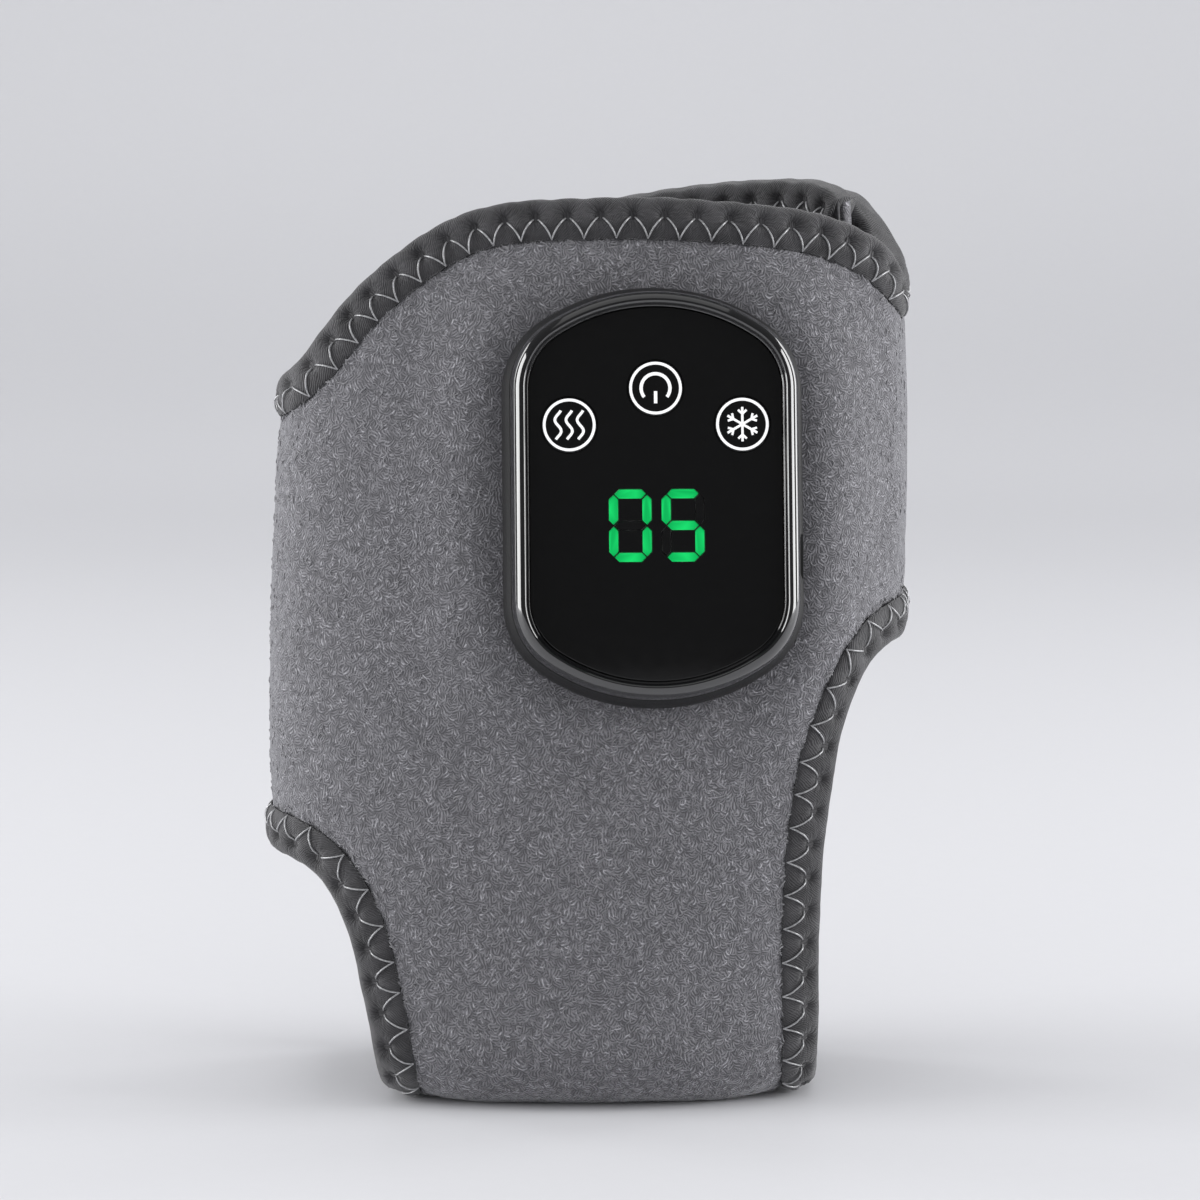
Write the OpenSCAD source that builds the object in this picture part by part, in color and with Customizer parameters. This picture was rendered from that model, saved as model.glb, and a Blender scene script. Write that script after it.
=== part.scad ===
// Hot and cold ankle wrap with a clip-through controller.
// The wrap is a padded band with a strap under the sole. Front is -Y, where the controller
// sits, the heel side is -X and the toe side is +X. The origin is the middle of the sole's
// flat underside.

/* [Ankle band] */
// Width of the band over its two side folds
band_w = 129; // [118:1:140]
// How far the band's middle lies to the heel side of the sole strap's middle
band_shift = 2.7; // [0:0.1:6]
// Height of the front rim at its middle
wrap_h = 181; // [172:1:192]
// Depth of the wrap just above the sole
depth_low = 76; // [68:1:84]
// Depth of the wrap at the rim
depth_rim = 48; // [42:1:56]
// How far the rim leans back behind the sole
lean_back = 8.5; // [2:0.5:12]
// Radius of the sole's front and back corners
sole_r = 14; // [11:0.5:18]
// How much narrower the band is at its top and bottom than at its widest level
band_taper = 4; // [0:0.1:5]
// How far the band leans to the toe side over its height
side_lean = 6; // [0:0.5:8]

/* [Openings and rim] */
// Width of the strap under the sole
strap_w = 86.5; // [76:0.5:92]
// Height of the heel opening's top
heel_open_h = 49.5; // [42:0.5:58]
// Height of the toe opening's top
toe_open_h = 92.5; // [84:0.5:100]
// How far the rim dips at the heel fold
rim_drop_heel = 37; // [28:1:42]
// How far the rim dips at the toe fold
rim_drop_toe = 17; // [12:1:24]
// How much taller the back panel is at its toe side
back_rise = 2.5; // [0:0.5:6]
// How far the sole's edges lift off the ground
edge_lift = 3.2; // [2.6:0.1:4.2]

/* [Fabric] */
// Thickness of the outer pile cloth and its bonded foam
shell_t = 4.1; // [3:0.1:5]
// Thickness of the heating film
film_t = 0.3; // [0.2:0.05:0.5]
// Thickness of the lining
lining_t = 1; // [0.8:0.1:1.4]
// Thickness of the edge binding
binding_t = 0.5; // [0.4:0.05:0.8]
// Width of the edge binding on each face
binding_w = 8; // [6:0.5:10]

/* [Closure flap] */
// Height of the flap's tab at its free end
tab_h = 44; // [34:1:50]
// Where the flap ends on the back, as the angle round the band from the middle of the back
flap_end = -14; // [-24:1:0]
// Thickness of the hook tape
hook_t = 1.6; // [1.2:0.1:2]

/* [Controller] */
// Width of the controller at its foot
case_w = 60; // [57:0.5:66]
// Height of the controller at its foot
case_h = 84; // [81:0.5:92]
// Radius of the case's four corners
case_corner_r = 17; // [15:0.5:18]
// Half the length of the case's straight sides
case_side = 21; // [19:0.5:22]
// Height of the matt side wall above the cloth
wall_h = 7; // [6.6:0.1:8]
// Height of the gloss bezel's crest above the side wall
bezel_h = 6.5; // [6.2:0.1:7.5]
// Width of the bezel, from the case's foot to the lens
bezel_w = 5; // [4.6:0.1:5.4]
// Thickness of the lens
lens_t = 1.5; // [1.2:0.1:1.8]
// Place of the controller's middle to the toe side of the sole strap's middle
case_x = 10.5; // [7:0.5:12]
// Distance of the controller's middle below the front rim
case_drop = 58.5; // [54:0.5:62]
// Depth to which the case presses the cloth in
case_sink = 1.4; // [0.8:0.1:2.4]

/* [Keys and display] */
// Radius of a key cap
key_r = 5.6; // [5:0.1:6]
// Travel of a key
key_travel = 0.4; // [0.3:0.05:0.5]
// Distance of the side keys from the middle
key_side_x = 17.1; // [15.5:0.1:17.6]
// Height of the side keys above the case's middle
key_side_y = 13.7; // [12:0.1:15]
// Height of the power key above the case's middle
key_top_y = 20.9; // [19:0.1:23]
// Height of a digit
digit_h = 14.4; // [12:0.1:16]
// Width of a digit
digit_w = 8.5; // [7.5:0.1:9.5]
// Distance between the two digits' middles
digit_pitch = 10.4; // [10:0.1:12]
// Height of the digits' middle below the case's middle
digit_drop = 6.2; // [4:0.1:9]

/* [Inside] */
// Thickness of the battery
battery_t = 5.8; // [4:0.1:6]
// Side of the square cooling module
cooler_side = 30; // [26:0.5:32]
// Thickness of the circuit board
board_t = 1.4; // [1:0.1:1.6]

/* [Hidden] */
$fn = 48;

function mix(a, b, t) = a + (b - a) * t;
function clamp(t) = max(0, min(1, t));
function smooth(t) = let (c = clamp(t)) c * c * (3 - 2 * c);
function unit(v) = v / norm(v);
function sign_pow(x, p) = sign(x) * pow(abs(x), p);

// A smooth curve through a list of points, with p counted in points.
function spline(pts, p) =
    let (
        last = len(pts) - 1,
        i = min(last - 1, max(0, floor(p))),
        t = p - i,
        a = pts[max(0, i - 1)],
        b = pts[i],
        c = pts[i + 1],
        d = pts[min(last, i + 2)]
    )
    b + 0.5 * t * (c - a + t * (2 * a - 5 * b + 4 * c - d + t * (3 * (b - c) + d - a)));

// ---- The form that the cloth lies on ---------------------------------------------------

round_n = 2.3; // roundness of the band's plan, where 2 is an ellipse
round_e = 2 / round_n;
wall_bow = 1.76; // how the depth falls off towards the rim
lean_bow = 1.5; // how the lean grows towards the rim
widest_z = 0.56 * wrap_h;
band_x = -band_shift;
ply_gap = 0.12; // between one layer of the wrap and the next
fabric_t = shell_t + film_t + lining_t + 2 * ply_gap;
flat_half = depth_low / 2 - sole_r;
corner_len = sole_r * PI / 2;
wall_start = flat_half + corner_len;
lift_from = strap_w / 4; // the sole is flat up to here
lift_h = 30; // the sole edges' lift dies away over this height

function rise(z) = max(0, z - sole_r) / (wrap_h - sole_r);
function half_depth(z) = depth_low / 2 - (depth_low - depth_rim) / 2 * pow(rise(z), wall_bow);
function lean(z) = lean_back * pow(rise(z), lean_bow);
function middle(z) = band_x + side_lean * (z - widest_z) / wrap_h;
function half_width(z) = band_w / 2 - band_taper * pow((z - widest_z) / (wrap_h - widest_z), 2);

// Level is the length along the wrap's side view, from the middle of the sole upwards.
function level_at(z) = wall_start + z - sole_r;
function side_view(level) =
    level <= flat_half ? [level, 0, 1, 0] :
    level <= wall_start ?
        let (turn = (level - flat_half) / sole_r * 180 / PI)
        [flat_half + sole_r * sin(turn), sole_r * (1 - cos(turn)), cos(turn), sin(turn)] :
    let (z = level - wall_start + sole_r)
    [half_depth(z), z, half_depth(z + 0.5) - half_depth(z - 0.5), 1];

// Point of the band, with across from -1 at the heel fold to 1 at the toe fold.
function bare_point(side, across, level) =
    let (
        s = side_view(level),
        full = pow(max(0, 1 - pow(abs(across), round_n)), 1 / round_n),
        x = middle(s[1]) + half_width(s[1]) * across,
        past = max(0, abs(x) - lift_from) / (strap_w / 2 - lift_from),
        lift = edge_lift * past * past * pow(clamp(1 - s[1] / lift_h), 2)
    )
    [x, lean(s[1]) + side * s[0] * full, s[1] + lift];
function bare_normal(side, across, level) =
    let (
        s = side_view(level),
        z = s[1],
        a = half_width(z),
        full = pow(max(0, 1 - pow(abs(across), round_n)), 1 / round_n),
        f = pow(full, round_n - 1),
        y_rate = (lean(z + 0.5) - lean(z - 0.5)) * s[3] + side * s[2] * full,
        a_rate = (half_width(z + 0.5) - half_width(z - 0.5)) * s[3],
        x_rate = side_lean / wrap_h * s[3] + a_rate * across,
        edge = s[0] * sign_pow(across, round_n - 1)
    )
    unit([edge * s[3], side * a * s[3] * f, -side * a * y_rate * f - edge * x_rate]);

// The cloth is pressed flat under the controller and a little way round it.
press_past = 3;
case_z = wrap_h - case_drop;
case_across = (case_x - middle(case_z)) / half_width(case_z);
case_level = level_at(case_z);
case_normal = bare_normal(-1, case_across, case_level);
case_at = bare_point(-1, case_across, case_level) - case_sink * case_normal;
case_yaw = atan2(case_normal.x, -case_normal.y);
case_pitch = asin(case_normal.z);
case_right = [cos(case_yaw), sin(case_yaw), 0];
case_up = cross(case_normal, case_right);
function pressed(p) =
    let (
        d = p - case_at,
        u = abs(d * case_right) / (case_w / 2 + press_past),
        v = abs(d * case_up) / (case_h / 2 + press_past),
        far = pow(pow(u, 4) + pow(v, 4), 0.25)
    )
    smooth((1.2 - far) / 0.2);

// Under the closure flap the back panel is tucked in.
tuck_in = 3;
tuck_under = 30; // how far under the toe opening's top the tuck begins
tuck_len = 25; // and over what length it grows
free_turn = 62; // the back panel's free edge, as an angle round the band
free_across = pow(sin(free_turn), round_e);
function tuck(across, level) =
    tuck_in * smooth((across - 0.35) / (free_across - 0.35))
    * smooth((level - level_at(toe_open_h - tuck_under)) / tuck_len);

function cloth(side, across, level, depth) =
    let (p = bare_point(side, across, level), n = bare_normal(side, across, level))
    side > 0 ? p - (depth + tuck(across, level) * smooth((1 - across) / 0.08)) * n :
    let (
        w = pressed(p),
        q = p - w * ((p - case_at) * case_normal) * case_normal,
        m = unit(mix(n, case_normal, w))
    )
    q - depth * m;

// ---- The cut of the cloth --------------------------------------------------------------

// Rows run from the middle of the sole up to the rim.
flat_rows = 1;
corner_rows = 3;
heel_rows = 6;
toe_rows = 5;
rim_rows = 3;
heel_top_row = flat_rows + corner_rows + heel_rows;
toe_top_row = heel_top_row + toe_rows;
rows = toe_top_row + rim_rows;
cols = 15;

// Each opening's edge, as shares of the way from the strap's edge to the fold and of its height.
heel_edge = [
    [0.09, 0.28], [0.17, 0.48], [0.25, 0.66], [0.38, 0.82], [0.56, 0.935], [0.76, 0.985], [0.93, 0.999], [1, 1]
];
toe_edge = [
    [0.01, 0.15], [0.01, 0.36], [0.06, 0.55], [0.15, 0.69], [0.26, 0.81], [0.44, 0.91], [0.65, 0.97],
    [0.86, 0.995], [1, 1]
];
// The edge as across and level, on the heel side (-1) or the toe side (1).
function edge_line(way, edge, top, reach) =
    let (
        fold = way * middle(top) + reach * half_width(top),
        sole = (strap_w / 2 - way * middle(0)) / half_width(0)
    )
    concat(
        [[sole, 0], [sole, flat_half]],
        [for (e = edge)
            let (z = top * e[1], x = mix(strap_w / 2, fold, e[0]))
            [(x - way * middle(z)) / half_width(z), level_at(z)]]
    );
heel_line = edge_line(-1, heel_edge, heel_open_h, 1);
toe_line = edge_line(1, toe_edge, toe_open_h, 1);
toe_back_line = edge_line(1, toe_edge, toe_open_h, free_across);
sole_sum = heel_line[0][0] + toe_line[0][0];

// The rim's height at even turns across the band, from the heel fold to the toe fold.
front_rim = [
    for (d = [[1, 0], [0.87, 0], [0.43, 0], [0.08, 0], [0, 0], [0, 0.05], [0, 0.21], [0, 0.55], [0, 1]])
        wrap_h - rim_drop_heel * d[0] - rim_drop_toe * d[1]
];
back_rim = [
    for (d = [[1, 0], [0.9, 0], [0.52, 0], [0.22, 0], [0.07, 0], [0, 0.4], [0, 1], [0, 0.8], [0.06, 0]])
        wrap_h - rim_drop_heel * d[0] + back_rise * d[1]
];

// Where a row stands on an opening's edge, counted in points of its line.
function line_place(j, top_row, line) =
    j <= flat_rows ? j / flat_rows :
    j <= flat_rows + corner_rows ? 1 + (j - flat_rows) / corner_rows :
    2 + (j - flat_rows - corner_rows) / (top_row - flat_rows - corner_rows) * (len(line) - 3);
function side_edge(line, top_row, j, rim_z) =
    j <= top_row ? spline(line, line_place(j, top_row, line)) :
    let (corner = line[len(line) - 1])
    [corner[0], mix(corner[1], level_at(rim_z), (j - top_row) / (rows - top_row))];

// Across and level of grid point i, j on the front (side -1) or the back (side 1).
function grid(side, i, j) =
    let (
        rim = side < 0 ? front_rim : back_rim,
        left = side_edge(heel_line, heel_top_row, j, rim[0]),
        right = side_edge(side < 0 ? toe_line : toe_back_line, toe_top_row, j, rim[8]),
        left_end = level_at(rim[0]),
        right_end = level_at(rim[8]),
        even = 2 * i / cols - 1,
        bent = sign_pow(sin(90 * even), round_e),
        fold = clamp((left[0] + right[0] - sole_sum) / (2 - sole_sum)),
        s = mix(even, bent, fold),
        share = (s + 1) / 2,
        rim_level = level_at(spline(rim, 8 * i / cols)),
        up = smooth((j - heel_top_row + 4) / (rows - heel_top_row + 4))
    )
    [
        mix(-left[0], right[0], share),
        mix(left[1], right[1], share) + (rim_level - mix(left_end, right_end, share)) * up
    ];
function wrap_point(side, i, j, depth) =
    let (g = grid(side, i, j)) cloth(side, g[0], g[1], depth);

// ---- Solids from grids and sweeps -------------------------------------------------------

// Two triangles for the square a, b, c, d, counted clockwise from outside.
function square_faces(a, b, c, d) = [[a, b, c], [a, c, d]];

// A closed sheet between an outer and an inner grid of points, each a list of rows.
module sheet(outer, inner) {
    n = len(outer[0]);
    m = len(outer);
    half = n * m;
    function o(i, j) = j * n + i;
    function q(i, j) = half + j * n + i;
    polyhedron(
        points = concat([for (r = outer) each r], [for (r = inner) each r]),
        faces = concat(
            [for (j = [0:m - 2], i = [0:n - 2])
                each square_faces(o(i, j), o(i, j + 1), o(i + 1, j + 1), o(i + 1, j))],
            [for (j = [0:m - 2], i = [0:n - 2])
                each square_faces(q(i, j), q(i + 1, j), q(i + 1, j + 1), q(i, j + 1))],
            [for (i = [0:n - 2]) each square_faces(o(i, 0), o(i + 1, 0), q(i + 1, 0), q(i, 0))],
            [for (i = [0:n - 2])
                each square_faces(o(i, m - 1), q(i, m - 1), q(i + 1, m - 1), o(i + 1, m - 1))],
            [for (j = [0:m - 2]) each square_faces(o(0, j), q(0, j), q(0, j + 1), o(0, j + 1))],
            [for (j = [0:m - 2])
                each square_faces(o(n - 1, j), o(n - 1, j + 1), q(n - 1, j + 1), q(n - 1, j))]
        )
    );
}

// A profile swept along stations. Each station is a ring of points; a loop joins up.
module sweep(rings, loop = false) {
    n = len(rings[0]);
    m = len(rings);
    steps = loop ? m : m - 1;
    polyhedron(
        points = [for (r = rings) each r],
        faces = concat(
            [for (j = [0:steps - 1], i = [0:n - 1])
                let (k = (i + 1) % n, l = (j + 1) % m)
                each square_faces(j * n + i, l * n + i, l * n + k, j * n + k)],
            loop ? [] : [
                [for (i = [0:n - 1]) i],
                [for (i = [n - 1:-1:0]) (m - 1) * n + i]
            ]
        )
    );
}

// The whole wrap between two depths, in one piece: front, sole strap, heel fold and back.
module wrap_layer(outer, inner) {
    n = cols + 1;
    half = n * (rows + 1);
    depths = [outer, inner];
    function at(side, i, j, layer) =
        let (shared = j == 0 || (i == 0 && j >= heel_top_row), s = shared ? 0 : side)
        ((layer * 2 + s) * half) + j * n + i;
    // The back's squares run the other way round from the front's.
    function turned(side, layer, a, b, c, d) =
        side == layer ? square_faces(a, b, c, d) : square_faces(a, d, c, b);
    polyhedron(
        points = [
            for (layer = [0, 1], side = [0, 1], j = [0:rows], i = [0:cols])
                wrap_point(2 * side - 1, i, j, depths[layer])
        ],
        faces = concat(
            [for (layer = [0, 1], side = [0, 1], j = [0:rows - 1], i = [0:cols - 1])
                each turned(side, layer,
                    at(side, i, j, layer), at(side, i, j + 1, layer),
                    at(side, i + 1, j + 1, layer), at(side, i + 1, j, layer))],
            [for (side = [0, 1], i = [0:cols - 1])
                each turned(side, 0,
                    at(side, i, rows, 0), at(side, i, rows, 1),
                    at(side, i + 1, rows, 1), at(side, i + 1, rows, 0))],
            [for (side = [0, 1], j = [0:heel_top_row - 1])
                each turned(side, 0,
                    at(side, 0, j, 0), at(side, 0, j, 1),
                    at(side, 0, j + 1, 1), at(side, 0, j + 1, 0))],
            [for (side = [0, 1], j = [0:rows - 1])
                each turned(side, 0,
                    at(side, cols, j, 0), at(side, cols, j + 1, 0),
                    at(side, cols, j + 1, 1), at(side, cols, j, 1))]
        )
    );
}

// Binding wraps the cut edge. Each point is a distance in from the edge and a height over the
// cloth's outer face. The inner leg stands off a little, because the cloth's facets sag there.
slack = 0.7;
leg = slack + binding_t;
inner_leg = leg + 0.5;
binding_profile = [
    [binding_w, slack], [binding_w - 0.7, leg - 0.1], [binding_w / 2, leg + 0.1], [0.7, leg - 0.2],
    [-0.8, -0.3], [-1.2, -fabric_t / 2], [-0.8, -fabric_t + 0.3],
    [0.7, -fabric_t - inner_leg + 0.2], [binding_w - 0.7, -fabric_t - inner_leg],
    [binding_w, -fabric_t - inner_leg + binding_t],
    [-0.3, -fabric_t - 0.5], [-0.3, 0.3], [binding_w / 2, slack + 0.12]
];

// Rings of the binding along places on a skin, which is a function of turn, level and depth.
// The out direction at an open path's two ends is up (1) or down (-1) the skin, or free (0).
function binding_rings(skin, places, first = 0, last = 0, loop = false) =
    let (m = len(places), points = [for (g = places) skin(g[0], g[1], 0)])
    [for (k = [0:m - 1])
        let (
            g = places[k],
            before = points[loop ? (k + m - 1) % m : max(0, k - 1)],
            after = points[loop ? (k + 1) % m : min(m - 1, k + 1)],
            round = (skin(g[0] + 1, g[1], 0) - skin(g[0] - 1, g[1], 0)) / 2,
            up = (skin(g[0], g[1] + 1, 0) - skin(g[0], g[1] - 1, 0)) / 2,
            set_way = k == 0 ? first : k == m - 1 ? last : 0,
            normal = unit(points[k] - skin(g[0], g[1], 1)),
            out = set_way != 0 ? set_way * unit(up) : unit(cross(unit(after - before), normal))
        )
        [for (p = binding_profile)
            let (in = max(0, p[0]))
            skin(
                g[0] - in * (out * round) / (round * round),
                g[1] - in * (out * up) / (up * up),
                -p[1]
            ) + max(0, -p[0]) * out]
    ];

// The band's cloth by turn, from -180 to 180 with 0 at the front and 90 at the toe fold.
wrap_skin = function (turn, level, depth)
    cloth(abs(turn) > 90 ? 1 : -1, sign_pow(sin(turn), round_e), level, depth);
function turn_of(side, across) =
    let (t = asin(sign_pow(max(-1, min(1, across)), 1 / round_e)))
    side < 0 ? t : (t < 0 ? -180 : 180) - t;
function edge_place(side, i, j) =
    let (g = grid(side, i, j))
    [turn_of(side, g[0]), g[1]];

// ---- The wrap's pieces ------------------------------------------------------------------

plush = [0.46, 0.455, 0.475];
lining_grey = [0.2, 0.2, 0.215];
tape_grey = [0.31, 0.31, 0.32];
film_d = shell_t + ply_gap;
lining_d = film_d + film_t + ply_gap;

module wrap_shell() color(plush) {
    difference() {
        wrap_layer(0, shell_t);
        case_hole();
    }
}

module wrap_lining() color(lining_grey) {
    difference() {
        wrap_layer(lining_d, fabric_t);
        case_hole();
    }
}

// Heating film: one panel round the controller's hole and one on the back. It ends at whole rows
// of the cloth, so its facets lie along the plies'.
film_rows = [heel_top_row, rows - 1];
module film_panel(side, first, last) {
    function layer(d) = [
        for (j = [film_rows[0]:film_rows[1]])
            [for (i = side < 0 ? [first:last] : [last:-1:first]) wrap_point(side, i, j, d)]
    ];
    sheet(layer(film_d), layer(film_d + film_t));
}
module heating_film() color([0.12, 0.11, 0.11]) {
    difference() {
        film_panel(-1, 2, cols - 1);
        case_hole();
    }
    film_panel(1, 2, cols - 4);
}

module top_binding() color(tape_grey) {
    front = [for (i = [cols:-1:0]) edge_place(-1, i, rows)];
    back = [for (i = [1:cols]) edge_place(1, i, rows)];
    sweep(binding_rings(wrap_skin, concat(front, back), 1, 1));
}
module heel_binding() color(tape_grey) {
    back = [for (j = [1:heel_top_row - 1]) edge_place(1, 0, j)];
    front = [for (j = [heel_top_row:-1:0]) edge_place(-1, 0, j)];
    sweep(binding_rings(wrap_skin, concat(back, front), loop = true), true);
}
rim_row_h = (wrap_h - toe_open_h) / rim_rows;
under_rim = rows - (binding_w + 0.5) / rim_row_h;
module toe_binding() color(tape_grey) {
    back = [for (j = concat([under_rim], [for (j = [rows - 1:-1:0]) j])) edge_place(1, cols, j)];
    front = [for (j = [1:toe_top_row]) edge_place(-1, cols, j)];
    sweep(binding_rings(wrap_skin, concat(back, front), 0, -1));
}

// ---- The closure flap -------------------------------------------------------------------

tab_round = 6; // how far the tab's corners are rounded off
flap_cols = 14;
flap_mid_rows = 5;
// From the flap's outer face to the panel under it, more where two bindings cross.
function flap_stand(turn) =
    fabric_t + mix(hook_t + 0.7, 2 * leg + 1.1, smooth((abs(turn) - 18) / 26));
fold_gap = 0.5; // turn left free between the front panel and the flap, in degrees
tab_mid = mix(toe_open_h, wrap_h, 0.47);
tab_top = tab_mid + tab_h / 2;
tab_low = tab_mid - tab_h / 2;
shoulder = wrap_h - 5;
flap_top_line = concat(
    [wrap_h - rim_drop_toe],
    [for (t = [0.1, 0, 0.35, 0.72, 0.96, 1]) mix(shoulder, tab_top, t)] - [0, 0, 0, 0, 0, tab_round]
);
flap_low_line = concat(
    [toe_open_h],
    [for (t = [0.04, 0.3, 0.64, 0.88, 1, 1]) mix(toe_open_h, tab_low, t)] + [0, 0, 0, 0, 0, tab_round]
);
function flap_place(k, r) =
    let (
        u = k / flap_cols,
        turn = mix(90 - fold_gap, flap_end, pow(u, 0.92)),
        low_z = spline(flap_low_line, 6 * u),
        top_z = spline(flap_top_line, 6 * u)
    )
    [turn, level_at(mix(low_z, top_z, r / flap_mid_rows))];
// Turn is counted here from the middle of the back, up to 90 at the toe fold.
flap_skin = function (turn, level, depth)
    let (
        across = sign_pow(sin(turn), round_e),
        out = smooth((90 - turn) / (90 - free_turn)),
        side = turn > 90 ? -1 : 1
    )
    bare_point(side, across, level)
    - (depth + out * (tuck(across, level) - flap_stand(turn))) * bare_normal(side, across, level);
function flap_point(k, r, depth) =
    let (g = flap_place(k, r)) flap_skin(g[0], g[1], depth);
function flap_grid(depth, first, last, low, top) = [
    for (r = [low:top]) [for (k = [first:last]) flap_point(k, r, depth)]
];
module flap_layer(outer, inner, first = 0, last = flap_cols, low = 0, top = flap_mid_rows)
    sheet(flap_grid(outer, first, last, low, top), flap_grid(inner, first, last, low, top));

module flap_shell() color(plush) flap_layer(0, shell_t);
module flap_lining() color(lining_grey) flap_layer(lining_d, fabric_t);
module hook_tape() color([0.1, 0.1, 0.11])
    flap_layer(fabric_t, fabric_t + hook_t, flap_cols - 7, flap_cols - 2, 1, flap_mid_rows - 1);
module flap_binding() color(tape_grey) {
    places = concat(
        [for (k = [0:flap_cols]) [k, 0]],
        [for (r = [1:flap_mid_rows]) [flap_cols, r]],
        [for (k = [flap_cols - 1:-1:0]) [k, flap_mid_rows]]
    );
    sweep(binding_rings(flap_skin, [for (g = places) flap_place(g[0], g[1])], -1, 1));
}

// ---- The controller's case --------------------------------------------------------------

// Heights in the controller are counted from the cloth, out along its face's normal.
wall_foot = 0.2;
lens_top = wall_h + bezel_h - 1.2;
lens_low = lens_top - lens_t;
board_low = wall_h - 0.7;
board_top = board_low + board_t;
frame_flange = [1.9, 2.7];
lining_face = -fabric_t;
clamp_faces = [lining_face - 0.25, lining_face - 1.5, lining_face - 2.8];
frame_low = clamp_faces[1] + 0.05;

// The case's outline, drawn in by inset: straight sides, corner arcs and a crowned arc.
corner_x = case_w / 2 - case_corner_r;
crown_rise = case_h / 2 - case_side;
crown_r = (corner_x * corner_x + crown_rise * crown_rise - case_corner_r * case_corner_r)
    / (2 * (crown_rise - case_corner_r));
crown_y = case_h / 2 - crown_r;
meet = atan2(case_side - crown_y, corner_x);
corner_steps = 6;
crown_steps = 5;
function quarter(inset) = concat(
    [for (k = [0:corner_steps])
        let (a = meet * k / corner_steps, r = case_corner_r - inset)
        [corner_x + r * cos(a), case_side + r * sin(a)]],
    [for (k = [1:crown_steps])
        let (a = mix(meet, 90, k / crown_steps), r = crown_r - inset)
        [r * cos(a), crown_y + r * sin(a)]]
);
function outline(inset) =
    let (q = quarter(inset), last = len(q) - 1)
    concat(
        q,
        [for (k = [last - 1:-1:0]) [-q[k].x, q[k].y]],
        [for (k = [0:last]) [-q[k].x, -q[k].y]],
        [for (k = [last - 1:-1:0]) [q[k].x, -q[k].y]]
    );
module case_ring(profile) // a closed profile of [inset, height] points, carried round the outline
    sweep([for (p = profile) [for (o = outline(p[0])) [o.x, o.y, p[1]]]], true);
module case_plate(inset, low, high)
    translate([0, 0, low]) linear_extrude(high - low) polygon(outline(inset));
module case_band(outer, inner, low, high) {
    difference() {
        case_plate(outer, low, high);
        case_plate(inner, low - 1, high + 1);
    }
}
module on_case() translate(case_at) rotate([90 - case_pitch, 0, case_yaw]) children();

frame_in = 9.3; // how far inside the case's foot the frame passes through the cloth
frame_wall = 1.5;
plate_in = frame_in + frame_wall + 1.6;
module case_hole() on_case() case_plate(frame_in - 0.2, -30, 12);

usb_y = -12;
usb_w = 9;
usb_h = 3.2;
usb_z = board_low - usb_h / 2;

module case_wall() color([0.1, 0.1, 0.105]) on_case() difference() {
    case_ring([
        [0, wall_foot], [0.1, 0.3 * wall_h], [0.5, 0.65 * wall_h], [1.4, wall_h],
        [2.9, wall_h], [2.9, 1.8], [frame_in - 1.2, 1.8], [frame_in - 1.2, wall_foot]
    ]);
    usb_body(0.15, case_w / 2 - 8, 10);
}

module bezel() color([0.035, 0.035, 0.04]) on_case() case_ring([
    [1.45, wall_h + 0.1], [1.6, wall_h + 0.3 * bezel_h], [2.1, wall_h + 0.62 * bezel_h],
    [2.8, wall_h + 0.88 * bezel_h], [3.3, wall_h + 0.98 * bezel_h],
    [3.7, wall_h + bezel_h], [4.1, wall_h + 0.96 * bezel_h],
    [bezel_w - 0.45, lens_top + 0.35], [bezel_w - 0.12, lens_top + 0.12],
    [bezel_w - 0.12, lens_low - 0.3], [bezel_w + 1, lens_low - 0.3],
    [bezel_w + 1, lens_low - 0.9], [2.9, lens_low - 0.9], [2.9, wall_h + 0.1]
]);

module lens_gasket() color([0.15, 0.15, 0.15]) on_case()
    case_band(bezel_w + 0.1, bezel_w + 1, lens_low - 0.28, lens_low - 0.02);

// ---- Keys and display -------------------------------------------------------------------

key_gap = 0.1;
key_collar = 0.7;
key_foot = lens_low - 0.75;
key_spots = [[0, key_top_y], [-key_side_x, key_side_y], [key_side_x, key_side_y]];

stroke = 1.9;
seg_gap = 0.22;
seg_clear = 0.05;
// A bar of the seven, lying along X, with pointed ends and drawn in by inset.
module bar(length, inset) {
    h = stroke / 2 - inset;
    e = length / 2 - inset * 1.4;
    polygon([[-e, 0], [-e + h, h], [e - h, h], [e, 0], [e - h, -h], [-e + h, -h]]);
}
bar_x = digit_w - stroke - seg_gap;
bar_y = (digit_h - stroke) / 2 - seg_gap;
// Bars are numbered top, upper left, upper right, middle, lower left, lower right, foot.
module bar_at(n, inset) {
    level = (digit_h - stroke) / 2;
    reach = (digit_w - stroke) / 2;
    if (n % 3 == 0) translate([0, (1 - n / 3) * level]) bar(bar_x, inset);
    else translate([(n % 3 == 1 ? -1 : 1) * reach, (n < 3 ? 0.5 : -0.5) * level]) rotate(90) bar(bar_y, inset);
}
lit_bars = [[0, 1, 2, 4, 5, 6], [0, 1, 3, 5, 6]];
unlit_bars = [[3], [2, 4]];
module bars(sets, inset, low, high)
    for (d = [0, 1]) for (n = sets[d])
        translate([(d - 0.5) * digit_pitch, -digit_drop, low])
            linear_extrude(high - low) bar_at(n, inset);

module front_lens() color([0.05, 0.05, 0.052]) on_case() difference() {
    case_plate(bezel_w, lens_low, lens_top);
    for (k = key_spots) translate([k.x, k.y, lens_low - 1]) cylinder(r = key_r + key_gap, h = lens_t + 2);
    bars([[0, 1, 2, 3, 4, 5, 6], [0, 1, 2, 3, 4, 5, 6]], 0, lens_low - 1, lens_top + 1);
}

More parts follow.
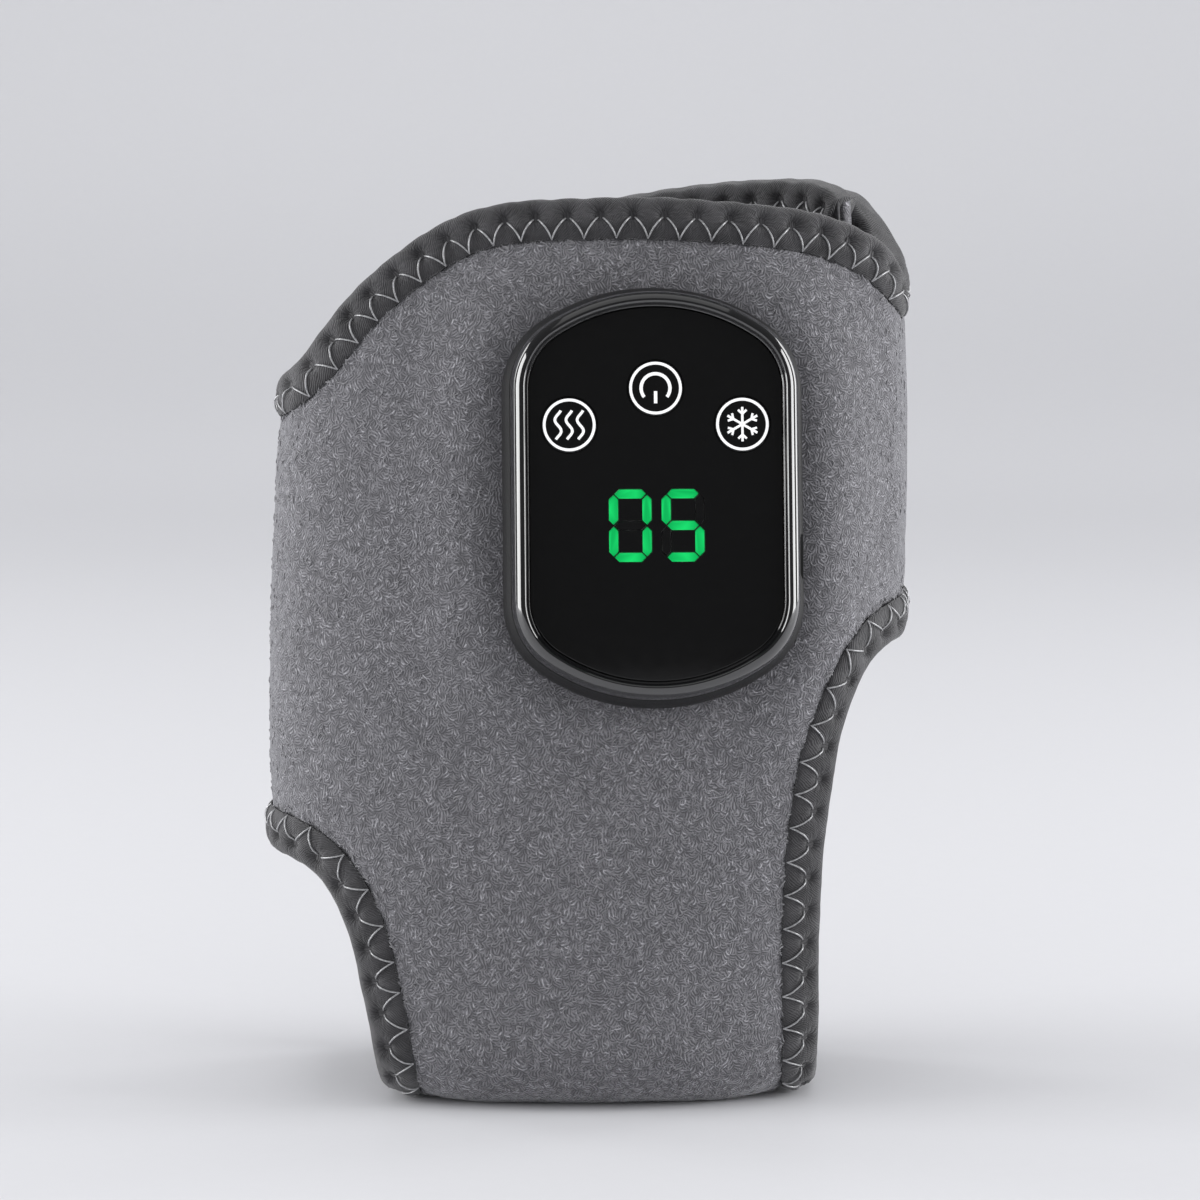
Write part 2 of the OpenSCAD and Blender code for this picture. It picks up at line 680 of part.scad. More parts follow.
module key_cap(spot) color([0.05, 0.05, 0.052]) on_case() translate([spot.x, spot.y, 0]) {
    translate([0, 0, key_foot]) cylinder(r = key_r + key_collar, h = 0.6);
    translate([0, 0, key_foot]) cylinder(r = key_r, h = lens_top - key_foot);
}
module power_key() key_cap(key_spots[0]);
module heat_key() key_cap(key_spots[1]);
module cold_key() key_cap(key_spots[2]);

module lit_segments() color([0.02, 0.9, 0.4]) on_case() bars(lit_bars, seg_clear, lens_low - 0.1, lens_top);
module unlit_segments() color([0.06, 0.06, 0.065]) on_case() bars(unlit_bars, seg_clear, lens_low - 0.1, lens_top);

module display_block() color([0.85, 0.85, 0.83]) on_case()
    translate([-digit_pitch - 1, -digit_drop - digit_h / 2 - 1.5, board_top])
        cube([2 * digit_pitch + 2, digit_h + 3, lens_low - 0.1 - board_top]);

// ---- Board, battery and frame -----------------------------------------------------------

post_spots = [for (x = [-1, 1], y = [-1, 1]) [x * (case_w / 2 - 6.6), y * 4.6]];
board_in = 3.6;
lead_x = -case_w / 2 + frame_in + frame_wall + 0.7;
lead_y = 1.5;
lead_r = 0.4;
lead_z = -(film_d + film_t / 2);

module circuit_board() color([0.06, 0.3, 0.17]) on_case() difference() {
    case_plate(board_in, board_low, board_top);
    for (p = post_spots) translate([p.x, p.y, board_low - 1]) cylinder(r = 1.1, h = board_t + 2);
}
chip_side = 7;
chip_h = 1;
driver_side = 4;
driver_h = 0.9;
driver_x = 12; // from the chip's middle to each driver's
chip_y = -24;
module chip_at(x, side, h) translate([x - side / 2, chip_y - side / 2, board_top]) cube([side, side, h]);
module control_chip() color([0.08, 0.08, 0.08]) on_case() {
    chip_at(0, chip_side, chip_h);
    for (s = [-1, 1]) chip_at(s * driver_x, driver_side, driver_h);
}
switch_side = 6;
switch_h = 1.4;
plunger_r = 1.75;
plunger_gap = 0.1; // left between plunger and key when the key is down
module tact_switches() color([0.75, 0.75, 0.77]) on_case() for (k = key_spots) translate([k.x, k.y, board_top]) {
    translate([-switch_side / 2, -switch_side / 2, 0]) cube([switch_side, switch_side, switch_h]);
    cylinder(r = plunger_r, h = key_foot - key_travel - plunger_gap - board_top);
}
screw_r = 0.85;
screw_head_r = 1.9;
board_head_h = 1.1;
module board_screws() color([0.75, 0.75, 0.76]) on_case() for (p = post_spots) translate([p.x, p.y, 0]) {
    translate([0, 0, board_top]) cylinder(r = screw_head_r, h = board_head_h);
    translate([0, 0, frame_flange[1] + 0.6])
        cylinder(r = screw_r, h = board_top - frame_flange[1] - 0.5);
}
usb_depth = 7.3;
usb_front = case_w / 2 - 1.2;
module usb_body(grow, start, long) {
    r = usb_h / 2;
    half = usb_w / 2 - r;
    for (s = [-1, 1])
        translate([start, usb_y + s * half, usb_z]) rotate([0, 90, 0]) cylinder(r = r + grow, h = long);
    translate([start, usb_y - half, usb_z - r - grow]) cube([long, 2 * half, 2 * (r + grow)]);
}
module usb_socket() color([0.78, 0.78, 0.8]) on_case() {
    difference() {
        usb_body(0, usb_front - usb_depth, usb_depth);
        usb_body(-0.3, usb_front - usb_depth + 1, usb_depth);
    }
    translate([usb_front - usb_depth + 0.9, usb_y - 3.35, usb_z - 0.35]) cube([usb_depth - 1.5, 6.7, 0.7]);
}

battery_low = -1;
module battery() color([0.72, 0.74, 0.78]) on_case() {
    half_x = case_w / 2 - plate_in - 0.3;
    half_y = case_h / 2 - plate_in - 5;
    translate([0, 0, battery_low]) linear_extrude(battery_t) union() {
        square([2 * half_x - 4, 2 * half_y], center = true);
        square([2 * half_x, 2 * half_y - 4], center = true);
        for (x = [-1, 1], y = [-1, 1]) translate([x * (half_x - 2), y * (half_y - 2)]) circle(r = 2);
    }
}

boss_spots = [for (x = [-1, 1], y = [-1, 1]) [x * (case_w / 2 - frame_in - 3.4), y * case_side]];
boss_top = -1.2;
module bosses(r, low, high) for (b = boss_spots) translate([b.x, b.y, low]) cylinder(r = r, h = high - low);
module case_frame() color([0.14, 0.14, 0.15]) on_case() difference() {
    union() {
        case_band(board_in - 0.2, frame_in + frame_wall, frame_flange[0], frame_flange[1]);
        case_band(frame_in, frame_in + frame_wall, frame_low, frame_flange[1]);
        bosses(2.3, frame_low, boss_top);
        for (p = post_spots) translate([p.x, p.y, frame_flange[1] - 0.4])
            cylinder(r = 2.2, h = board_low - frame_flange[1] + 0.4);
    }
    bosses(0.95, frame_low - 1, boss_top - 1);
    for (p = post_spots) translate([p.x, p.y, frame_flange[1] + 0.4]) cylinder(r = 0.95, h = 8);
    translate([-case_w / 2 + frame_in - 1, -lead_y - 1, lead_z - 0.7]) cube([frame_wall + 2, 2 * lead_y + 2, 1.4]);
}

// From the wearer outwards: contact plate, cooling module in its insulation, heat spreader.
plate_top = frame_low + 1.1;
cooler_top = -2.8;
module inner_plate(low, high) difference() {
    case_plate(plate_in, low, high);
    bosses(2.6, low - 1, high + 1);
}
module contact_plate() color([0.82, 0.83, 0.85]) on_case() difference() {
    union() {
        inner_plate(frame_low + 0.05, plate_top);
        case_plate(frame_in + 5.6, clamp_faces[2] - 0.9, frame_low + 0.1);
    }
    translate([0, -19, plate_top - 0.9]) cylinder(r = 2.2, h = 2);
}
module skin_sensor() color([0.2, 0.2, 0.22]) on_case()
    translate([0, -19, plate_top - 0.85]) cylinder(r = 2, h = 1.6);
module cooling_module() color([0.93, 0.93, 0.9]) on_case() {
    for (z = [plate_top + 0.02, cooler_top - 0.72])
        translate([-cooler_side / 2, -cooler_side / 2, z]) cube([cooler_side, cooler_side, 0.7]);
    pitch = cooler_side / 6;
    for (x = [-2.5:2.5], y = [-2.5:2.5])
        translate([x * pitch - 1.2, y * pitch - 1.2, plate_top + 0.5])
            cube([2.4, 2.4, cooler_top - plate_top - 1]);
}
module insulation() color([0.9, 0.9, 0.86]) on_case() difference() {
    inner_plate(plate_top + 0.05, cooler_top - 0.05);
    translate([-cooler_side / 2 - 0.3, -cooler_side / 2 - 0.3, plate_top - 1])
        cube([cooler_side + 0.6, cooler_side + 0.6, 8]);
    translate([0, -19, plate_top - 1]) cylinder(r = 2.4, h = 8);
}
module heat_spreader() color([0.8, 0.81, 0.83]) on_case() inner_plate(cooler_top, boss_top - 0.1);

module clamp_ring() color([0.16, 0.16, 0.17]) on_case() difference() {
    union() {
        case_band(4, frame_in - 0.3, clamp_faces[1], clamp_faces[0]);
        case_band(5, frame_in + 4.7, clamp_faces[2], clamp_faces[1]);
    }
    bosses(1.1, clamp_faces[2] - 1, clamp_faces[1] + 1);
    bosses(2.1, clamp_faces[2] - 1, clamp_faces[2] + 0.7);
}
module case_screws() color([0.75, 0.75, 0.76]) on_case() for (b = boss_spots) translate([b.x, b.y, 0]) {
    translate([0, 0, clamp_faces[2] - 0.3]) cylinder(r = screw_head_r, h = 0.95);
    translate([0, 0, clamp_faces[2] + 0.2]) cylinder(r = screw_r, h = boss_top - clamp_faces[2] - 1.8);
}
module heater_leads() color([0.7, 0.12, 0.1]) on_case() for (s = [-1, 1]) translate([0, s * lead_y, 0]) {
    edge = -case_w / 2 + frame_in - 0.1;
    translate([edge, 0, lead_z]) rotate([0, 90, 0]) cylinder(r = lead_r, h = lead_x - edge);
    translate([lead_x, 0, lead_z]) sphere(r = lead_r);
    translate([lead_x, 0, lead_z]) cylinder(r = lead_r, h = board_low - 0.05 - lead_z);
}

wrap_shell();
wrap_lining();
heating_film();
top_binding();
heel_binding();
toe_binding();
flap_shell();
flap_lining();
flap_binding();
hook_tape();
case_wall();
bezel();
front_lens();
lens_gasket();
power_key();
heat_key();
cold_key();
lit_segments();
unlit_segments();
display_block();
circuit_board();
control_chip();
tact_switches();
board_screws();
usb_socket();
battery();
case_frame();
heat_spreader();
cooling_module();
insulation();
contact_plate();
skin_sensor();
clamp_ring();
case_screws();
heater_leads();
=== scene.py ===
"""The finished look of a hot and cold ankle wrap, built round its solid model."""
import math
import random

import bmesh
import bpy
from bpy.props import FloatProperty, FloatVectorProperty, PointerProperty
from bpy.types import Operator, Panel, PropertyGroup
from mathutils import Matrix, Vector, kdtree, noise


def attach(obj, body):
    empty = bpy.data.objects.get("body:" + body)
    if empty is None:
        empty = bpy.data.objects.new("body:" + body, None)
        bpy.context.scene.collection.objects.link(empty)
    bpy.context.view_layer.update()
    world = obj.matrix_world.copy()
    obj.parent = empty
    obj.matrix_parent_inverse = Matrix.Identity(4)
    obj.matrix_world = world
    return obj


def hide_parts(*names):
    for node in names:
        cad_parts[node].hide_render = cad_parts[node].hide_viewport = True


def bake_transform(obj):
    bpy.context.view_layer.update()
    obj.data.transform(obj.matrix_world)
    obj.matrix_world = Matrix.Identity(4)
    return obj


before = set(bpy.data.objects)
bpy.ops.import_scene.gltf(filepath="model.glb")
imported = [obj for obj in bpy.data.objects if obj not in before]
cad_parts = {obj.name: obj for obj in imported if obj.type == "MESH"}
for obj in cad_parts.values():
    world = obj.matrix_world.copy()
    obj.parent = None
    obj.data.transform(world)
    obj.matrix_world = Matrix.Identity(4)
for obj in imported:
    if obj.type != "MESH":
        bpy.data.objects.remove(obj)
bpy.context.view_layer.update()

bl_info = {
    "name": "Ankle Wrap Finish",
    "version": (1, 0, 0),
    "blender": (4, 5, 0),
    "location": "3D View > Sidebar > Wrap",
    "description": "Cloth, bindings, stitching and controller of a hot and cold ankle wrap",
    "category": "Object",
}

MM = 0.001
FRONT, BACK = -1, 1

LENS_BELOW_CREST = 1.2 * MM
PILE_PLY, LINING_PLY = 2.6 * MM, 0.8 * MM


def length(name, description, default):
    """A size in metres."""
    return FloatProperty(
        name=name, description=description, default=default, unit="LENGTH", subtype="DISTANCE",
        precision=5,
    )


def share(name, description, default):
    """A plain number."""
    return FloatProperty(name=name, description=description, default=default, precision=3)


def colour(name, description, default):
    """A linear colour."""
    return FloatVectorProperty(
        name=name, description=description, default=default, size=3, min=0, max=1, subtype="COLOR"
    )


class WrapSizes(PropertyGroup):
    """Sizes of the cloth part, the same as the solid model's."""

    band_w: length("Band width", "Width of the band over its two side folds", 0.129)
    band_shift: length("Band shift", "How far the band's middle lies to the heel side", 0.0027)
    wrap_h: length("Height", "Height of the front rim at its middle", 0.181)
    depth_low: length("Low depth", "Depth of the wrap just above the sole", 0.076)
    depth_rim: length("Rim depth", "Depth of the wrap at the rim", 0.048)
    lean_back: length("Lean back", "How far the rim leans back behind the sole", 0.0085)
    sole_r: length("Sole corner", "Radius of the sole's front and back corners", 0.014)
    band_taper: length("Taper", "How much narrower the band is at its ends", 0.004)
    side_lean: length("Side lean", "How far the band leans to the toe side", 0.006)
    strap_w: length("Strap width", "Width of the strap under the sole", 0.0865)
    heel_open_h: length("Heel opening", "Height of the heel opening's top", 0.0495)
    toe_open_h: length("Toe opening", "Height of the toe opening's top", 0.0925)
    rim_drop_heel: length("Heel dip", "How far the rim dips at the heel fold", 0.037)
    rim_drop_toe: length("Toe dip", "How far the rim dips at the toe fold", 0.017)
    back_rise: length("Back rise", "How much taller the back panel is at its toe side", 0.0025)
    edge_lift: length("Edge lift", "How far the sole's edges lift off the ground", 0.0032)
    shell_t: length("Pile cloth", "Thickness of the outer pile cloth", 0.0041)
    film_t: length("Film", "Thickness of the heating film", 0.0003)
    lining_t: length("Lining", "Thickness of the lining", 0.001)
    ply_gap: length("Ply gap", "Space between one layer and the next", 0.00012)
    binding_w: length("Binding width", "Width of the edge binding on each face", 0.008)
    tab_h: length("Tab height", "Height of the flap's tab at its free end", 0.044)
    flap_end: share("Flap end", "Angle round the back at which the flap ends, in degrees", -14)
    hook_t: length("Hook tape", "Thickness of the hook tape", 0.0016)
    plan_power: share("Plan roundness", "Roundness of the band's plan, where 2 is an ellipse", 2.3)
    wall_bow: share("Wall bow", "How the depth falls off towards the rim", 1.76)
    lean_bow: share("Lean bow", "How the lean grows towards the rim", 1.5)
    tuck_in: length("Tuck", "How far the back panel is tucked in under the flap", 0.003)
    free_turn: share("Free edge", "The back panel's free edge, as an angle round the band", 62)


class CaseSizes(PropertyGroup):
    """Sizes of the controller, the same as the solid model's."""

    case_w: length("Width", "Width of the controller at its foot", 0.060)
    case_h: length("Height", "Height of the controller at its foot", 0.084)
    corner_r: length("Corner radius", "Radius of the case's four corners", 0.017)
    case_side: length("Straight side", "Half the length of the case's straight sides", 0.021)
    wall_h: length("Side wall", "Height of the matt side wall above the cloth", 0.007)
    bezel_h: length("Bezel", "Height of the bezel's crest above the side wall", 0.0065)
    bezel_w: length("Bezel width", "Width of the bezel, from the case's foot to the lens", 0.005)
    lens_t: length("Lens", "Thickness of the lens", 0.0015)
    case_x: length("Place across", "Place of the controller to the toe side", 0.0105)
    case_drop: length("Place down", "Distance of the controller's middle below the front rim", 0.0585)
    case_sink: length("Sink", "Depth to which the case presses the cloth in", 0.0014)
    key_r: length("Key radius", "Radius of a key cap", 0.0056)
    key_side_x: length("Side keys across", "Distance of the side keys from the middle", 0.0171)
    key_side_y: length("Side keys up", "Height of the side keys above the case's middle", 0.0137)
    key_top_y: length("Power key up", "Height of the power key above the case's middle", 0.0209)
    digit_h: length("Digit height", "Height of a digit", 0.0144)
    digit_w: length("Digit width", "Width of a digit", 0.0085)
    digit_pitch: length("Digit pitch", "Distance between the two digits' middles", 0.0104)
    digit_drop: length("Digits down", "Height of the digits' middle below the case's middle", 0.0062)


class StitchSizes(PropertyGroup):
    """Sizes of the stitching and of the pile."""

    pitch: length("Stitch pitch", "Distance from one needle hole to the next", 0.0065)
    hole_in: length("Hole row", "Distance of the needle holes from the cloth's edge", 0.0029)
    thread_r: length("Thread", "Radius of the stitching thread", 0.00018)
    pile_line: length("Pile line", "Distance from the edge at which the pile begins", 0.0073)
    pile_h: length("Pile height", "How far the pile stands above the cloth's face", 0.0001)
    loop_r: length("Loop yarn", "Radius of a pile loop's yarn", 0.00014)


class FinishColours(PropertyGroup):
    """Colours of the finishes."""

    pile: colour("Pile", "Grey of the pile cloth", (0.268, 0.264, 0.282))
    # Painted shade: the darker grey painted into the pile's hollows between the loops.
    pile_deep: colour("Pile hollows", "Grey between the pile's loops", (0.066, 0.065, 0.070))
    tape: colour("Binding", "Grey of the binding", (0.042, 0.041, 0.044))
    thread: colour("Thread", "Silver of the stitching thread", (0.42, 0.42, 0.43))
    lining: colour("Lining", "Dark grey of the lining", (0.030, 0.030, 0.033))
    gloss: colour("Gloss black", "Black of the bezel", (0.004, 0.004, 0.0045))
    matt: colour("Matt black", "Black of the side wall", (0.009, 0.009, 0.0095))
    lens: colour("Lens", "Black of the lens", (0.0045, 0.0045, 0.0046))
    ink: colour("Icons", "White of the icons", (0.92, 0.92, 0.92))
    lit: colour("Lit segments", "Green of the lit segments", (0.0, 0.60, 0.125))
    backdrop: colour("Backdrop", "Pale grey of the floor and backdrop", (0.635, 0.635, 0.655))


def mix(a, b, t):
    """The value a share t of the way from a to b."""
    return a + (b - a) * t


def clamp(t):
    """A share, held between 0 and 1."""
    return max(0.0, min(1.0, t))


def smooth(t):
    """A share eased at both ends."""
    t = clamp(t)
    return t * t * (3 - 2 * t)


def bell(x, width):
    """1 at x = 0, falling away to nothing past about twice the width."""
    return math.exp(-((x / width) ** 2))


def sign_pow(x, power):
    """A power that keeps the sign."""
    return math.copysign(abs(x) ** power, x)


def spline(points, p):
    """A smooth curve through a list of numbers or vectors, with p counted in points."""
    last = len(points) - 1
    i = min(last - 1, max(0, math.floor(p)))
    t = p - i
    a, b, c, d = points[max(0, i - 1)], points[i], points[i + 1], points[min(last, i + 2)]
    return b + 0.5 * t * ((c - a) + t * ((2 * a - 5 * b + 4 * c - d) + t * (3 * (b - c) + d - a)))


class WrapForm:
    """Where the cloth lies: the formulas of the solid model, in metres."""

    COLS = 15
    FLAT_ROWS, CORNER_ROWS, HEEL_ROWS, TOE_ROWS, RIM_ROWS = 1, 3, 6, 5, 3
    HEEL_TOP_ROW = FLAT_ROWS + CORNER_ROWS + HEEL_ROWS
    TOE_TOP_ROW = HEEL_TOP_ROW + TOE_ROWS
    ROWS = TOE_TOP_ROW + RIM_ROWS
    FLAP_COLS, FLAP_ROWS = 14, 5
    FOLD_GAP = 0.5
    HEEL_EDGE = [
        (0.09, 0.28), (0.17, 0.48), (0.25, 0.66), (0.38, 0.82), (0.56, 0.935), (0.76, 0.985),
        (0.93, 0.999), (1, 1),
    ]
    TOE_EDGE = [
        (0.01, 0.15), (0.01, 0.36), (0.06, 0.55), (0.15, 0.69), (0.26, 0.81), (0.44, 0.91), (0.65, 0.97),
        (0.86, 0.995), (1, 1)
    ]
    FRONT_DIP = [(1, 0), (0.87, 0), (0.43, 0), (0.08, 0), (0, 0), (0, 0.05), (0, 0.21), (0, 0.55), (0, 1)]
    BACK_DIP = [(1, 0), (0.9, 0), (0.52, 0), (0.22, 0), (0.07, 0), (0, 0.4), (0, 1), (0, 0.9), (0.02, 0)]

    def __init__(self, wrap, case):
        for group in (wrap, case):
            for name in group.__annotations__:
                setattr(self, name, getattr(group, name))
        self.plan_share = 2 / self.plan_power
        self.band_x = -self.band_shift
        self.widest_z = 0.56 * self.wrap_h
        self.fabric_t = self.shell_t + self.film_t + self.lining_t + 2 * self.ply_gap
        self.flat_half = self.depth_low / 2 - self.sole_r
        self.wall_start = self.flat_half + self.sole_r * math.pi / 2
        self.lift_from = self.strap_w / 4
        self.free_across = math.sin(math.radians(self.free_turn)) ** self.plan_share
        self.seat_case()
        self.cut_edges()

    def rise(self, z):
        """How far up the wall a height lies, as a share."""
        return max(0.0, z - self.sole_r) / (self.wrap_h - self.sole_r)

    def half_depth(self, z):
        """Half the wrap's depth at a height."""
        return self.depth_low / 2 - (self.depth_low - self.depth_rim) / 2 * self.rise(z) ** self.wall_bow

    def lean(self, z):
        """How far the wrap has leant back at a height."""
        return self.lean_back * self.rise(z) ** self.lean_bow

    def middle(self, z):
        """Where the band's middle lies across at a height."""
        return self.band_x + self.side_lean * (z - self.widest_z) / self.wrap_h

    def half_width(self, z):
        """Half the band's width at a height."""
        off = (z - self.widest_z) / (self.wrap_h - self.widest_z)
        return self.band_w / 2 - self.band_taper * off * off

    def rate(self, measure, z):
        """How fast a measure changes with height."""
        step = 0.5 * MM
        return (measure(z + step) - measure(z - step)) / (2 * step)

    def level_at(self, z):
        """Distance along the side view from the sole's middle to a height on the wall."""
        return self.wall_start + z - self.sole_r

    def side_view(self, level):
        """Depth from the middle, height and direction at a level along the side view."""
        if level <= self.flat_half:
            return level, 0.0, 1.0, 0.0
        if level <= self.wall_start:
            turn = (level - self.flat_half) / self.sole_r
            y = self.flat_half + self.sole_r * math.sin(turn)
            return y, self.sole_r * (1 - math.cos(turn)), math.cos(turn), math.sin(turn)
        z = level - self.wall_start + self.sole_r
        return self.half_depth(z), z, self.rate(self.half_depth, z), 1.0

    def bare(self, side, across, level):
        """Point and normal of the band, before the case and the flap shape it."""
        y, z, dy, dz = self.side_view(level)
        full = max(0.0, 1 - abs(across) ** self.plan_power) ** (1 / self.plan_power)
        a = self.half_width(z)
        x = self.middle(z) + a * across
        past = max(0.0, abs(x) - self.lift_from) / (self.strap_w / 2 - self.lift_from)
        lift = self.edge_lift * past * past * clamp(1 - z / (30 * MM)) ** 2
        point = Vector((x, self.lean(z) + side * y * full, z + lift))
        f = full ** (self.plan_power - 1)
        y_rate = self.rate(self.lean, z) * dz + side * dy * full
        x_rate = self.side_lean / self.wrap_h * dz + self.rate(self.half_width, z) * dz * across
        edge = y * sign_pow(across, self.plan_power - 1)
        normal = Vector((edge * dz, side * a * dz * f, -side * a * y_rate * f - edge * x_rate))
        return point, normal.normalized()

    def seat_case(self):
        """The flat place under the controller."""
        z = self.wrap_h - self.case_drop
        across = (self.case_x - self.middle(z)) / self.half_width(z)
        point, normal = self.bare(FRONT, across, self.level_at(z))
        self.case_normal = normal
        self.case_at = point - self.case_sink * normal
        yaw = math.atan2(normal.x, -normal.y)
        self.case_right = Vector((math.cos(yaw), math.sin(yaw), 0))
        self.case_up = normal.cross(self.case_right)
        turn = Matrix((self.case_right, self.case_up, normal)).transposed()
        self.on_case = Matrix.Translation(self.case_at) @ turn.to_4x4()

    def case_place(self, point):
        """A point as right, up and out from the controller's middle."""
        off = point - self.case_at
        return off.dot(self.case_right), off.dot(self.case_up), off.dot(self.case_normal)

    def pressed(self, point):
        """1 where the case presses the cloth flat, easing to 0 round it."""
        right, up, _ = self.case_place(point)
        past, ends, run, slack = 3 * MM, 1.32, 0.34, 0.68
        u = abs(right) / (self.case_w / 2 + past)
        u = min(u, 1 + (u - 1) * slack)
        v = abs(up) / (self.case_h / 2 + past)
        return smooth((ends - (u**4 + v**4) ** 0.25) / run)

    def tuck(self, across, level):
        """How far the back panel is tucked in near its free edge."""
        start, low, run = 0.35, self.toe_open_h - 30 * MM, 25 * MM
        return (
            self.tuck_in
            * smooth((across - start) / (self.free_across - start))
            * smooth((level - self.level_at(low)) / run)
        )

    def cloth(self, side, across, level, depth=0.0):
        """A point of the wrap at a depth below its outer face."""
        point, normal = self.bare(side, across, level)
        if side > 0:
            return point - (depth + self.tuck(across, level) * smooth((1 - across) / 0.08)) * normal
        press = self.pressed(point)
        flat = point - press * (point - self.case_at).dot(self.case_normal) * self.case_normal
        return flat - depth * normal.lerp(self.case_normal, press).normalized()

    def edge_line(self, way, edge, top, reach):
        """An opening's edge from the sole's middle to its top, as places across and up."""
        fold = way * self.middle(top) + reach * self.half_width(top)
        sole = (self.strap_w / 2 - way * self.middle(0)) / self.half_width(0)
        line = [Vector((sole, 0)), Vector((sole, self.flat_half))]
        for out, up in edge:
            z = top * up
            x = mix(self.strap_w / 2, fold, out)
            line.append(Vector(((x - way * self.middle(z)) / self.half_width(z), self.level_at(z))))
        return line

    def cut_edges(self):
        """The cloth's cut: both openings and both rims."""
        self.heel_line = self.edge_line(-1, self.HEEL_EDGE, self.heel_open_h, 1)
        self.toe_line = self.edge_line(1, self.TOE_EDGE, self.toe_open_h, 1)
        self.toe_back_line = self.edge_line(1, self.TOE_EDGE, self.toe_open_h, self.free_across)
        self.sole_sum = self.heel_line[0].x + self.toe_line[0].x
        heel_dip, toe_dip = self.rim_drop_heel, self.rim_drop_toe
        self.front_rim = [self.wrap_h - heel_dip * a - toe_dip * b for a, b in self.FRONT_DIP]
        self.back_rim = [self.wrap_h - heel_dip * a + self.back_rise * b for a, b in self.BACK_DIP]

    def side_edge(self, line, top_row, j, rim_z):
        """Where row j of the cut meets one side's edge."""
        flat, corner = self.FLAT_ROWS, self.FLAT_ROWS + self.CORNER_ROWS
        if j > top_row:
            end, share_up = line[-1], (j - top_row) / (self.ROWS - top_row)
            return Vector((end.x, mix(end.y, self.level_at(rim_z), share_up)))
        if j <= flat:
            return spline(line, j / flat)
        if j <= corner:
            return spline(line, 1 + (j - flat) / self.CORNER_ROWS)
        return spline(line, 2 + (j - corner) / (top_row - corner) * (len(line) - 3))

    def grid(self, side, i, j):
        """Across and level of a place in the cloth's cut, i columns over and j rows up."""
        rim = self.front_rim if side < 0 else self.back_rim
        left = self.side_edge(self.heel_line, self.HEEL_TOP_ROW, j, rim[0])
        toe = self.toe_line if side < 0 else self.toe_back_line
        right = self.side_edge(toe, self.TOE_TOP_ROW, j, rim[8])
        even = 2 * i / self.COLS - 1
        bent = sign_pow(math.sin(math.pi / 2 * even), self.plan_share)
        fold = clamp((left.x + right.x - self.sole_sum) / (2 - self.sole_sum))
        part = (mix(even, bent, fold) + 1) / 2
        rim_level = self.level_at(spline(rim, 8 * i / self.COLS))
        ends = mix(self.level_at(rim[0]), self.level_at(rim[8]), part)
        up = smooth((j - self.HEEL_TOP_ROW + 4) / (self.ROWS - self.HEEL_TOP_ROW + 4))
        return mix(-left.x, right.x, part), mix(left.y, right.y, part) + (rim_level - ends) * up

    def even_rows(self, side, count):
        """Rows at even levels from the sole's middle to the rim."""
        fine = [j * self.ROWS / 400 for j in range(401)]
        levels = [self.grid(side, self.COLS / 2, j)[1] for j in fine]
        rows, k = [], 0
        for n in range(count + 1):
            level = mix(levels[0], levels[-1], n / count)
            while k < 399 and levels[k + 1] < level:
                k += 1
            rows.append(mix(fine[k], fine[k + 1], (level - levels[k]) / (levels[k + 1] - levels[k])))
        return rows

    def wrap_skin(self, turn, level, depth=0.0):
        """The band by turn in degrees, 0 at the front, 90 at the toe fold and 180 at the back."""
        across = sign_pow(math.sin(math.radians(turn)), self.plan_share)
        return self.cloth(BACK if abs(turn) > 90 else FRONT, across, level, depth)

    def edge_place(self, side, i, j):
        """Turn and level of a place in the cut."""
        across, level = self.grid(side, i, j)
        across = max(-1.0, min(1.0, across))
        turn = math.degrees(math.asin(sign_pow(across, 1 / self.plan_share)))
        if side > 0:
            turn = (-180 if turn < 0 else 180) - turn
        return turn, level

    def flap_place(self, k, r):
        """Turn from the middle of the back, and level, of a place in the flap's cut."""
        u = k / self.FLAP_COLS
        turn = mix(90 - self.FOLD_GAP, self.flap_end, u**0.92)
        mid = mix(self.toe_open_h, self.wrap_h, 0.47)
        tab_round = 6 * MM
        top, low = mid + self.tab_h / 2, mid - self.tab_h / 2
        tops = [self.wrap_h - self.rim_drop_toe]
        tops += [mix(self.wrap_h, top, t) for t in (0.45, 0, 0.35, 0.72, 0.96, 1)]
        lows = [self.toe_open_h]
        lows += [mix(self.toe_open_h, low, t) for t in (0.04, 0.3, 0.64, 0.88, 1, 1)]
        tops[-1] -= tab_round
        lows[-1] += tab_round
        return turn, self.level_at(mix(spline(lows, 6 * u), spline(tops, 6 * u), r / self.FLAP_ROWS))

    def flap_skin(self, turn, level, depth=0.0):
        """The closure flap, lying over the back panel."""
        across = sign_pow(math.sin(math.radians(turn)), self.plan_share)
        side = FRONT if turn > 90 else BACK
        point, normal = self.bare(side, across, level)
        over_hooks, over_edge = self.hook_t + 0.7 * MM, 3.5 * MM
        stand = self.fabric_t + mix(over_hooks, over_edge, smooth((abs(turn) - 18) / 26))
        out = smooth((90 - turn) / (90 - self.free_turn))
        return point - (depth + out * (self.tuck(across, level) - stand)) * normal

    def case_inset(self, x, y):
        """How far a point on the controller's seat lies inside the case's foot."""
        corner_x, crown_r, crown_y, meet = self.case_arcs()
        x, y = abs(x), abs(y)
        if y <= self.case_side and x > corner_x:
            return self.case_w / 2 - x
        if math.atan2(y - crown_y, x) < meet and x > corner_x:
            return self.corner_r - math.hypot(x - corner_x, y - self.case_side)
        return crown_r - math.hypot(x, y - crown_y)

